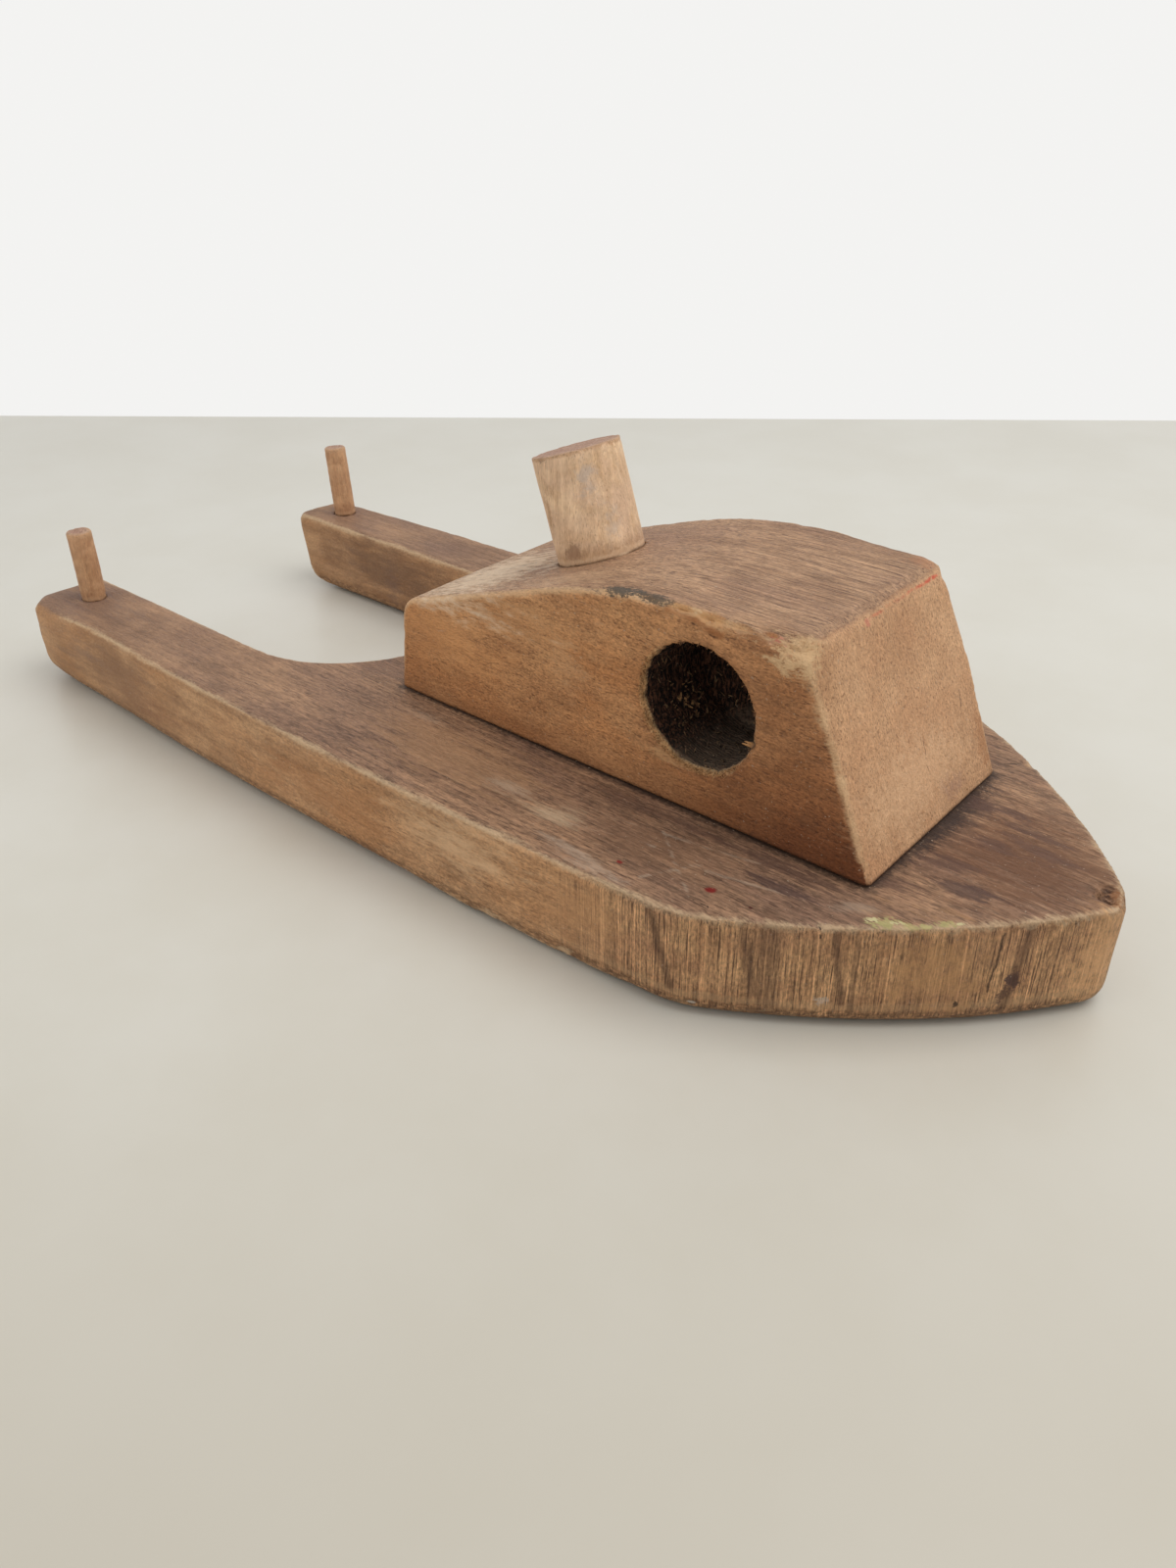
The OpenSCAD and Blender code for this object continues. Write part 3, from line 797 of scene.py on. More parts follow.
class CabinFinish(Finish):
    """The cabin block: warm sides, greyed roof, end grain ahead and dark bored holes."""

    name = "aged_cabin_wood"
    worn = Colour(214, 176, 134)
    worn_share = 0.65
    ripple_size = (5.0, 1.5, 1.5)
    ring_pitch = 0.65
    spots = (
        Spot((65.0, -24.2, 64.4), (13, 2.0, 2.4), Colour(214, 170, 122), 0.7, 0, 1.4, 0.8, 0.8),
        Spot((85.4, -23.6, 63.2), (8.0, 4.0, 5.4), Colour(220, 183, 138), 0.85, 0, 1.3, 1.0, 0.7),
        tone((-4.0, -24.5, 42.0), (26, 3, 14), Colour(226, 166, 110), 0.65),
        tone((100.0, -2.0, 34.0), (10, 26, 11), Colour(234, 190, 148), 0.55, 1.0),
        Spot((101.5, 10.0, 27.2), (4, 7, 3.5), Colour(150, 112, 98), 0.45, 0, 1.2, 0.6, 1.0),
        Spot((84.0, 22.6, 65.0), (4.5, 3.5, 1.6), Colour(190, 128, 88), 0.4, 0, 1.4, 0.6),
        Spot((100.0, 25.0, 31.0), (4, 3.5, 9), Colour(172, 118, 76), 0.5, 0, 1.2, 0.4),
        Spot((18.0, -24.5, 50.0), (26, 3, 8), Colour(208, 158, 110), 0.5, 0, 1.2, 0, 0.8),
        Spot((33.0, -24.5, 44.0), (8, 3, 8), Colour(210, 164, 120), 0.4, 20, 1.4, 0, 1.0),
        tone((-8.0, -24.5, 38.0), (8, 3, 9), Colour(178, 120, 74), 0.4),
        Spot((12.0, -4.0, 55.0), (11, 5.0, 6), DUST, 0.45, 20, 1.2, 0.5, 1.0),
        Spot((9.0, -6.5, 54.0), (5, 1.4, 4), CHALK, 0.35, 35, 1.0, 0.6, 1.0),
        tone((28.0, -18.0, 60.0), (24, 8, 5), Colour(196, 160, 126), 0.5, 1.4),
        # A pale tone over the aft slope of the roof: painted sheen on that slope
        tone((-2.0, -8.0, 49.5), (30, 26, 8), Colour(232, 206, 176), 0.85),
        Spot((58.5, -24.4, 33.2), (7, 1.4, 1.8), Colour(210, 166, 118), 0.6, 0, 1.2, 1.0, 0.8),
        Spot((89.3, -24.4, 31.5), (4.0, 1.4, 2.0), Colour(122, 82, 54), 0.4, 0, 1.2, 0.6, 0.9),
    )
    strokes = (
        Stroke((87.6, -23.6, 62.6), (96.0, -24.0, 42.0), 0.9, Colour(226, 192, 148), 0.6, 0.9, 0.4),
        Stroke((86.8, -24.2, 62.0), (91.0, -24.2, 52.0), 1.6, Colour(226, 192, 148), 0.7, 0.8, 0.42),
        Stroke((94.0, -24.0, 48.0), (103.2, -24.2, 24.0), 0.5, Colour(214, 174, 130), 0.5, 0.9, 0.44),
        Stroke((93.0, 4.4, 49.0), (95.0, 4.0, 44.0), 0.14, Colour(110, 72, 48), 0.6, 0.6, 0.44),
        Stroke((96.6, 3.7, 40.0), (99.4, 2.7, 33.0), 0.14, Colour(96, 62, 42), 0.65, 0.6, 0.4),
        Stroke((95.7, 20.0, 42.2), (96.8, 19.4, 39.4), 0.18, CRACK, 0.7),
        Stroke((3.6, -1.2, 52.2), (-2.6, -4.4, 50.2), 0.25, CHALK, 0.5, 0.8, 0.4),
        Stroke((5.0, -6.0, 52.6), (1.0, -8.6, 51.4), 0.2, CHALK, 0.4, 0.8, 0.4),
        Stroke((40.0, -24.5, 30.0), (52.0, -24.5, 28.5), 0.14, Colour(104, 68, 42), 0.5, 0.5, 0.48),
        Stroke((8.0, -24.5, 43.0), (15.0, -24.5, 46.0), 0.2, Colour(110, 74, 48), 0.4, 0.8, 0.46),
    )
    paint = (
        # The red line across the top of the front
        Stroke((87.0, -4.0, 63.5), (87.0, 12.0, 63.6), 0.34, LINE_RED, 0.4, 0.8, 0.44),
        Stroke((87.0, 10.0, 63.6), (87.1, 23.2, 63.5), 0.36, LINE_RED, 0.85, 0.7, 0.36),
        Spot((87.1, -5.2, 63.0), (1.2, 1.6, 0.8), Colour(206, 120, 100), 0.55, 0, 0.8, 0.8),
        # The chipped and split starboard edge of the roof
        Spot((68.0, -23.7, 65.0), (10, 1.1, 0.9), Colour(220, 188, 148), 0.75, 0, 1.0, 1.2, 0.8),
        Stroke((57.4, -24.4, 64.1), (63.5, -24.6, 63.4), 0.8, Colour(152, 98, 56), 0.85, 0.6, 0.36),
        Stroke((63.5, -24.6, 63.4), (69.0, -24.6, 61.8), 0.7, Colour(152, 98, 56), 0.85, 0.6, 0.36),
        Stroke((58.4, -24.5, 63.4), (68.4, -24.6, 61.3), 0.22, Colour(80, 48, 28), 0.9, 0.6, 0.4),
        Stroke((60.5, -24.3, 64.6), (66.0, -24.4, 63.6), 0.16, Colour(92, 56, 34), 0.7, 0.6, 0.44),
        Stroke((72.0, -24.2, 64.2), (77.5, -24.3, 63.9), 0.18, Colour(110, 68, 42), 0.6, 0.6, 0.46),
        Spot((82.3, -22.6, 64.8), (1.7, 0.9, 1.0), Colour(128, 80, 48), 0.8, 20, 0.8, 0.9),
        Spot((80.8, -23.6, 64.2), (1.0, 0.6, 1.0), Colour(128, 80, 48), 0.7, 0, 0.8, 0.9),
        Spot((84.9, -24.0, 62.6), (0.9, 0.9, 1.2), Colour(150, 100, 62), 0.6, 0, 0.8, 0.9),
        Spot((80.0, -24.0, 64.0), (3.2, 2.2, 1.1), Colour(204, 108, 98), 0.55, 0, 0.8, 1.2),
        # The dark smudge on that edge
        Spot((44.8, -23.0, 64.2), (5.6, 2.3, 2.0), Colour(72, 68, 60), 0.85, 4, 0.7, 1.1, 0.5),
        Spot((52.0, -23.4, 64.8), (7.2, 1.7, 1.6), Colour(76, 70, 62), 0.8, -3, 0.7, 1.1, 0.5),
        Spot((40.0, -24.2, 62.8), (5.0, 0.9, 0.8), Colour(104, 90, 74), 0.6, 0, 1.0, 1.2),
    )

    def skins(self, graph: Graph) -> tuple[NodeSocket, NodeSocket]:
        """Draws the sides, the roof, the ends and the bored holes.

        Args:
            graph: The material's nodes.

        Returns:
            Colour and height.
        """
        cloud = graph.grainy(14, (4, 4, 4), detail=4.0)
        colour, height = self.walls(graph, cloud)
        spoke = graph.vector("SUBTRACT", graph.point, PORTHOLE)
        bored = graph.attribute("bored")
        colour = graph.mix(bored, colour, self.hole(graph, cloud, spoke))
        around = graph.vector("LENGTH", graph.vector("MULTIPLY", spoke, (1, 0, 1)))
        frayed = graph.add(around, graph.times(graph.grainy((1.1, 9, 1.1)), 2.0))
        lip = graph.step(frayed, PORTHOLE_R + 2.1, PORTHOLE_R + 1.5)
        lower = graph.step(graph.vector("DOT_PRODUCT", spoke, FRAYED_WAY), -3, 8)
        speck = graph.step(graph.grainy(0.45), 0.4, 0.54)
        colour = graph.tint(colour, Colour(255, 222, 168), lip, lower, speck, graph.less(1.0, bored), 0.9)
        corner = graph.placed(graph.point, (82.0, -24.0, 64.0), (0, 0, 0), (14, 5, 6))
        ragged = graph.add(graph.vector("LENGTH", corner), graph.times(cloud, 0.8))
        splinter = graph.step(graph.grainy((3.0, 0.7, 0.5), detail=4.0, rough=0.7), 0.5, 0.6)
        colour = graph.tint(colour, Colour(132, 88, 54), graph.step(ragged, 1.3, 0.8), splinter, 0.55)
        return colour, height

    def walls(self, graph: Graph, cloud: NodeSocket) -> tuple[NodeSocket, NodeSocket]:
        """Draws the sides, the roof and the ends.

        Args:
            graph: The material's nodes.
            cloud: Broad noise that frays the borders of their tones.

        Returns:
            Colour and height.
        """
        side, side_height = CABIN_SIDE.lay(graph)
        roof, roof_height = ROOF.lay(graph)
        end, end_height = CABIN_END_WITH_PAINTED_LIGHT.lay(graph)
        ripple = graph.times(graph.grainy(6, detail=3.0), 0.3)
        up = graph.step(graph.add(graph.part(graph.normal, Axis.Z), ripple), 0.8, 1.0)
        ahead = graph.facing(Axis.X, 0.5, 0.72)
        x, z = graph.part(graph.point, Axis.X), graph.part(graph.point, Axis.Z)
        # Darker towards the front and the foot of the sides: partly handling stain, partly painted shade
        # near the deck
        fore = graph.step(graph.add(x, graph.times(cloud, 24.0)), 58, 104)
        foot = graph.step(graph.add(z, graph.times(cloud, 10.0)), 52, 29)
        handled = graph.times(fore, graph.add(graph.times(foot, 0.5), 0.55))
        low_stain_and_shade = graph.step(graph.add(z, graph.times(cloud, 8.0)), 38, 27)
        side = graph.tint(side, Colour(144, 94, 58), low_stain_and_shade, 0.5)
        side = graph.mix(handled, side, Colour(176, 152, 140), Blend.SHADE)
        colour = graph.mix(up, graph.mix(ahead, side, end), roof)
        height = graph.mix(up, graph.mix(ahead, side_height, end_height), roof_height)
        return colour, height

    def hole(self, graph: Graph, cloud: NodeSocket, spoke: NodeSocket) -> NodeSocket:
        """Draws the dark wood in the portholes, with the rings that the bit left and painted sheen on
        their lower walls.

        Args:
            graph: The material's nodes.
            cloud: Broad noise that bends the rings.
            spoke: The place, measured from the middle of the portholes.

        Returns:
            Its colour.
        """
        fibre = graph.grainy((0.5, 0.6, 2.2), detail=4.0, rough=0.7)
        inside = graph.mix(graph.step(fibre, 0.44, 0.66), Colour(18, 10, 8), Colour(112, 74, 54))
        bent = graph.add(graph.part(graph.point, Axis.Y), graph.times(cloud, 1.2))
        rings = graph.math("SINE", graph.times(bent, math.tau / self.ring_pitch))
        # A greyer, lighter lower wall, where alone the bit's rings show: painted sheen at the bottom of
        # the bore
        below = graph.step(graph.vector("DOT_PRODUCT", spoke, (0.5, 0, -0.86)), 4.0, 11.0)
        inside = graph.tint(inside, Colour(88, 76, 64), below, 0.6)
        return graph.tint(inside, Colour(140, 118, 96), graph.step(rings, -0.2, 0.9), below, 0.5)

    def grime_and_shade(self, graph: Graph) -> NodeSocket:
        """Grime and painted shade along the foot of the cabin and round the funnel.

        Args:
            graph: The material's nodes.

        Returns:
            The mask.
        """
        speck = graph.grainy(1.2, (1, 8, 5), detail=3.0)
        height = graph.add(graph.part(graph.point, Axis.Z), graph.times(speck, 2.0))
        foot = graph.step(height, 25.4, 23.8)
        axis = graph.placed(graph.point, FUNNEL_FOOT, (0, -ROOF_FALL, 0), (1, 1, 1000))
        ring = graph.step(graph.vector("LENGTH", axis), 10.4, 9.6)
        return graph.most(graph.times(foot, 0.8), graph.times(ring, 0.25))


@dataclass(frozen=True)
class DowelFinish:
    """A turned dowel: streaks along it, end grain on its top and grime with painted shade round its foot.
    """

    name: str
    side: Skin
    foot: Place
    lean: float
    length: float
    ring: float = 0.0
    spots: tuple[Spot, ...] = ()

    def build(self) -> Material:
        """Draws the material.

        Returns:
            The material.
        """
        graph = Graph(self.name)
        turned = graph.placed(graph.point, self.foot, (0, -self.lean, 0), (1, 1, 1))
        ripple = graph.grainy(2.0, (13, 5, 8), detail=4.0, rough=0.65)
        grit = graph.grainy(0.5, (2, 4, 6), detail=3.0, rough=0.6)
        side, side_height = self.side.lay(graph)
        end, end_height = DOWEL_END.lay(graph)
        along = graph.part(turned, Axis.Z)
        top = graph.step(along, self.length - 0.5, self.length - 0.1)
        colour = graph.mix(top, side, end)
        height = graph.mix(top, side_height, end_height)
        for spot in self.spots:
            colour = spot.lay(graph, colour, ripple, grit)
        noisy = graph.add(along, graph.times(ripple, 3.0))
        rim = graph.step(noisy, self.length + 0.3, self.length + 1.1)
        colour = graph.tint(colour, Colour(184, 124, 74), rim, 0.5)
        colour = graph.tint(colour, Colour(104, 66, 40), rim, graph.step(grit, 0.5, 0.62), 0.6)
        colour = graph.rubbed(colour, ripple, grit, Colour(222, 188, 152), 0.35)
        colour = graph.tint(colour, Colour(150, 104, 70), graph.step(noisy, 6.0, 3.0), 0.35)
        colour = graph.tint(colour, self.side.pale, graph.step(noisy, 3.1, 2.5), self.ring)
        # Grime and painted shade round the foot, where the dowel meets the wood it stands in
        foot = graph.step(graph.add(along, ripple), 1.0, 0.5)
        colour = graph.tint(colour, GRIME_AND_SHADE, foot, 0.25)
        height = graph.add(height, graph.times(ripple, 0.08))
        rough = graph.add(graph.times(ripple, 0.2), 0.52)
        return graph.finish(colour, rough, height)


@dataclass(frozen=True)
class SteelFinish:
    """Old screw steel: dull, browned in patches."""

    name: str = "browned_screw_steel"

    def build(self) -> Material:
        """Draws the material.

        Returns:
            The material.
        """
        graph = Graph(self.name)
        brush = graph.grainy((0.15, 2.0, 2.0))
        rust = graph.step(graph.grainy(1.2, detail=4.0, rough=0.65), 0.42, 0.62)
        colour = graph.tint(Colour(132, 126, 118), Colour(96, 66, 46), rust, 0.8)
        rough = graph.add(graph.times(rust, 0.3), 0.38)
        return graph.finish(colour, rough, graph.times(brush, 0.03), metal=0.75, gloss=0.5)


@dataclass(frozen=True)
class FloorFinish:
    """A plain, pale table top with a faint sheen, painted darker towards the camera as painted shade."""

    name: str = "pale_table"
    colour: Colour = Colour(219, 216, 206)

    def build(self) -> Material:
        """Draws the material.

        Returns:
            The material.
        """
        graph = Graph(self.name)
        cloud = graph.grainy(60, detail=5.0, rough=0.6)
        colour = graph.mix(graph.step(cloud, 0.3, 0.7), Colour(214, 210, 198), self.colour)
        # The near side of the table is painted darker: painted shade
        far = graph.vector("DOT_PRODUCT", graph.point, (-0.657, 0.754, 0.0))
        colour = graph.tint(colour, Colour(192, 184, 168), graph.step(far, -50, -210), 0.7)
        rough = graph.add(graph.times(cloud, 0.15), 0.32)
        return graph.finish(colour, rough, graph.times(cloud, 0.02), gloss=0.5)


@dataclass(frozen=True)
class Dent:
    """A place that is knocked in, chipped away or moved along a way of its own."""

    at: Place
    reach: Place
    depth: float
    torn: float = 0.0
    bumpy: float = 0.0
    way: Place | None = None


@dataclass(frozen=True)
class Rounding:
    """An edge worn rounder than it was sawn; its two ways lie in its faces and lead off it."""

    at: Place
    first: Place
    second: Place
    radius: float
    low: Place = (-1000.0, -1000.0, -1000.0)
    high: Place = (1000.0, 1000.0, 1000.0)
    fade: float = 0.01


class Surface:
    """The points of a finely divided mesh, in millimetres, while they are worn."""

    # The least divisor, the bend where an edge starts and how much more makes it a full one
    TINY = 1e-6
    BEND_FROM = 0.03
    BEND_RANGE = 0.14
    SMOOTHINGS = 3

    # Size of the crumbs of chipped wood, width of the seam round a dowel, and reach of its rim
    # in faces
    CRUMB = 1.7
    SEAM = 0.03
    REACH = 0.75

    def __init__(self, mesh: Mesh) -> None:
        """Reads the points.

        Args:
            mesh: The mesh, in metres.
        """
        self.mesh = mesh
        self.points = self.read(mesh.vertices, "co") / MM
        self.normals = self.read(mesh.vertex_normals, "vector")
        ends = np.empty(len(mesh.edges) * 2, np.int32)
        mesh.edges.foreach_get("vertices", ends)
        self.ends = ends.reshape(-1, 2).T
        self.edge_count = np.maximum(np.bincount(ends, minlength=len(self.points)), 1)
        self.torn = np.zeros(len(self.points))
        self.wear = self.roundness()

    @staticmethod
    def read(items: bpy.types.bpy_prop_collection, name: str) -> np.ndarray:
        """A vector of each of some items, as rows."""
        flat = np.empty(len(items) * 3, np.float32)
        items.foreach_get(name, flat)
        return flat.reshape(-1, 3).astype(float)

    def round_off(self, edges: tuple[Rounding, ...]) -> None:
        """Wears edges rounder: what stands out beyond an arc moves in to it.

        Args:
            edges: The edges.
        """
        for edge in edges:
            first, second = (np.array(way) / np.linalg.norm(way) for way in (edge.first, edge.second))
            middle = (first + second) / np.linalg.norm(first + second)
            axis = np.cross(first, second) / np.linalg.norm(np.cross(first, second))
            half = math.acos(float(first @ second)) / 2
            away = self.points - np.array(edge.at) - middle * edge.radius / math.sin(half)
            away -= np.outer(away @ axis, axis)
            out_first = away @ (first * (middle @ first) - middle)
            out_second = away @ (second * (middle @ second) - middle)
            lean = -math.cos(2 * half)
            beyond = np.minimum(out_first - lean * out_second, out_second - lean * out_first)
            far = np.linalg.norm(away, axis=1)
            room = np.minimum(self.points - np.array(edge.low), np.array(edge.high) - self.points)
            share = np.clip(room.min(axis=1) / edge.fade, 0, 1)
            share[(beyond < 0) | (far < edge.radius)] = 0
            self.points -= away * (share * (1 - edge.radius / np.maximum(far, self.TINY)))[:, None]
        self.place()
        self.normals = self.read(self.mesh.vertex_normals, "vector")
        self.wear = self.roundness()

    def place(self) -> None:
        """Writes the points back to the mesh."""
        self.mesh.vertices.foreach_set("co", (self.points * MM).astype(np.float32).ravel())
        self.mesh.update()

    def seat(self, foot: Place, lean: float, face_lean: float, radius: float, cell: float) -> None:
        """Draws the rim of a hole crisply round the dowel that fills it.

        Args:
            foot: Where the dowel's axis meets the face.
            lean: Lean of the dowel, in degrees.
            face_lean: Lean of the face's normal, in degrees.
            radius: The dowel's radius.
            cell: Size of the mesh's faces, which says how far from the rim points are drawn to it.
        """
        reach = cell * self.REACH
        axis, face = (np.array((-math.sin(turn), 0.0, math.cos(turn)))
                      for turn in map(math.radians, (lean, face_lean)))
        away = self.points - np.array(foot)
        spoke = away - np.outer(away @ axis, axis)
        far = np.maximum(np.linalg.norm(spoke, axis=1), self.TINY)
        rim = spoke / far[:, None] * (radius + self.SEAM)
        rim -= np.outer((rim @ face) / (axis @ face), axis)
        above = away @ face
        lip = (np.abs(far - radius) < reach) & (np.abs(above) < reach)
        self.points[lip] = (np.array(foot) + rim)[lip]
        level = (far > radius + reach) & (far < radius + 3 * reach) & (np.abs(above) < reach)
        self.points[level] -= np.outer(above[level], face)
        self.wear[far < radius + 4 * reach] = 0

    def gather(self, first: np.ndarray, second: np.ndarray) -> np.ndarray:
        """Means at each point of what its edges bring there.

        Args:
            first: What each edge brings to its first end.
            second: What it brings to its second end.

        Returns:
            The means.
        """
        a, b = self.ends
        size = len(self.points)
        return (np.bincount(a, first, size) + np.bincount(b, second, size)) / self.edge_count

    def roundness(self) -> np.ndarray:
        """How far each point lies on an outer edge.

        Returns:
            0 on flat and hollow places, up to 1 on an edge.
        """
        a, b = self.ends
        run = self.points[a] - self.points[b]
        square = np.maximum(np.linalg.norm(run, axis=1), self.TINY) ** 2
        bend = self.gather((run * self.normals[a]).sum(1) / square,
                           (-run * self.normals[b]).sum(1) / square)
        for _ in range(self.SMOOTHINGS):
            bend = 0.5 * bend + 0.5 * self.gather(bend[b], bend[a])
        return np.clip((bend - self.BEND_FROM) / self.BEND_RANGE, 0, 1)

    def ripple(self, size: float, seed: float) -> np.ndarray:
        """Smooth noise at each point.

        Args:
            size: Size of its bumps, in millimetres.
            seed: Picks the pattern.

        Returns:
            Values from about -1 to 1.
        """
        shift = Vector((17.3, 9.1, 4.7)) * seed
        return np.array([noise.noise(Vector(p) / size + shift) for p in self.points])

    def sink(self, depth: np.ndarray) -> None:
        """Moves each point inwards by its depth."""
        self.points -= self.normals * depth[:, None]

    def wander(self, size: float, depth: float, seed: float) -> None:
        """Sinks hollows of a size into the whole surface, the deepest by the depth."""
        self.sink(depth * 0.5 * (1 + np.clip(self.ripple(size, seed) * 1.6, -1, 1)))

    def knock_edges(self, size: float, depth: float, seed: float) -> None:
        """Nibbles knocks of a size out of the outer edges, the deepest by the depth."""
        knock = np.clip(self.ripple(size, seed) * 1.8, 0, 1) ** 1.5
        self.sink(depth * knock * self.wear)

    def press(self, dent: Dent) -> None:
        """Knocks one place in, or moves it the dent's own way.

        Args:
            dent: The place.
        """
        gone = np.linalg.norm((self.points - np.array(dent.at)) / np.array(dent.reach), axis=1)
        near = np.nonzero(gone < 1)[0]
        fall = (1 - gone[near] ** 2) ** 2
        depth = dent.depth * fall
        if dent.bumpy:
            rough = np.array([noise.noise(Vector(self.points[i]) / self.CRUMB) for i in near])
            depth = depth + dent.bumpy * fall**0.5 * (rough + 0.5)
        way = -self.normals[near] if dent.way is None else np.array(dent.way)
        self.points[near] += way * depth[:, None]
        self.torn[near] = np.maximum(self.torn[near], dent.torn * np.sqrt(fall))

    def write(self) -> None:
        """Writes the worn points and their marks back to the mesh."""
        self.place()
        self.mark("wear", self.wear)
        self.mark("torn", self.torn)

    def mark(self, name: str, values: np.ndarray) -> None:
        """Keeps one number at each point of the mesh."""
        layer = self.mesh.attributes.new(name, "FLOAT", "POINT")
        layer.data.foreach_set("value", values.astype(np.float32))


def placed_object(name: str, data: ID) -> Object:
    """Puts a new object with some data into the scene."""
    made = bpy.data.objects.new(name, data)
    bpy.context.scene.collection.objects.link(made)
    return made


def as_object(bm: bmesh.types.BMesh, name: str) -> Object:
    """Puts a bmesh into a new object at the origin.

    Args:
        bm: The bmesh, in metres. It is freed.
        name: The object's name.

    Returns:
        The object, smooth shaded.
    """
    for face in bm.faces:
        face.smooth = True
    mesh = bpy.data.meshes.new(name)
    bm.to_mesh(mesh)
    bm.free()
    return placed_object(name, mesh)


def merged_copy(node: str, name: str) -> Object:
    """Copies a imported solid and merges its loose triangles.

    Args:
        node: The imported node.
        name: Name of the copy.

    Returns:
        The copy.
    """
    bm = bmesh.new()
    bm.from_mesh(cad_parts[node].data)
    bmesh.ops.remove_doubles(bm, verts=bm.verts, dist=WELD_M)
    return as_object(bm, name)


def apply_modifiers(piece: Object) -> None:
    """Turns what a piece's modifiers make of it into its own mesh."""
    graph = bpy.context.evaluated_depsgraph_get()
    made = bpy.data.meshes.new_from_object(piece.evaluated_get(graph))
    piece.modifiers.clear()
    piece.data = made


def refine(piece: Object, cell: float) -> None:
    """Divides a piece into even, fine faces, so that it can be worn.

    Args:
        piece: The piece, whose mesh is changed.
        cell: Size of the faces, in millimetres.
    """
    remesh = piece.modifiers.new("fine_faces", "REMESH")
    remesh.mode = "VOXEL"
    remesh.voxel_size = cell * MM
    remesh.use_smooth_shade = True
    apply_modifiers(piece)


def lathe(profile: Sequence[tuple[float, float]], steps: int) -> bmesh.types.BMesh:
    """Spins a profile round the Z axis into a closed solid.

    Args:
        profile: Radius and height of its points, in millimetres, from axis to axis.
        steps: Facets of the full turn.

    Returns:
        The solid, in millimetres.
    """
    bm = bmesh.new()
    points = [bm.verts.new((radius, 0, height)) for radius, height in profile]
    edges = [bm.edges.new(pair) for pair in zip(points, points[1:])]
    bmesh.ops.spin(bm, geom=points + edges, cent=(0, 0, 0), axis=(0, 0, 1), dvec=(0, 0, 0),
                   angle=math.tau, steps=steps, use_merge=True, use_duplicate=False)
    bmesh.ops.remove_doubles(bm, verts=bm.verts, dist=WELD_MM)
    bmesh.ops.recalc_face_normals(bm, faces=bm.faces)
    return bm


def settle(bm: bmesh.types.BMesh, at: Place, lean: float) -> None:
    """Leans an upright solid towards the stern, puts it in place and scales it to metres.

    Args:
        bm: The solid, in millimetres.
        at: Where its origin goes.
        lean: Its lean, in degrees.
    """
    place = (Matrix.Scale(MM, 4) @ Matrix.Translation(at)
             @ Matrix.Rotation(math.radians(-lean), 4, "Y"))
    bmesh.ops.transform(bm, matrix=place, verts=bm.verts)


def finish_piece(piece: Object, node: str, material: Material) -> None:
    """Gives a finished piece its material and its place in the frame.

    Args:
        piece: The piece.
        node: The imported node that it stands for.
        material: Its material.
    """
    piece.data.materials.clear()
    piece.data.materials.append(material)
    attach(piece, BODY)
    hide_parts(node)
    log.info("%s: %d faces", piece.name, len(piece.data.polygons))


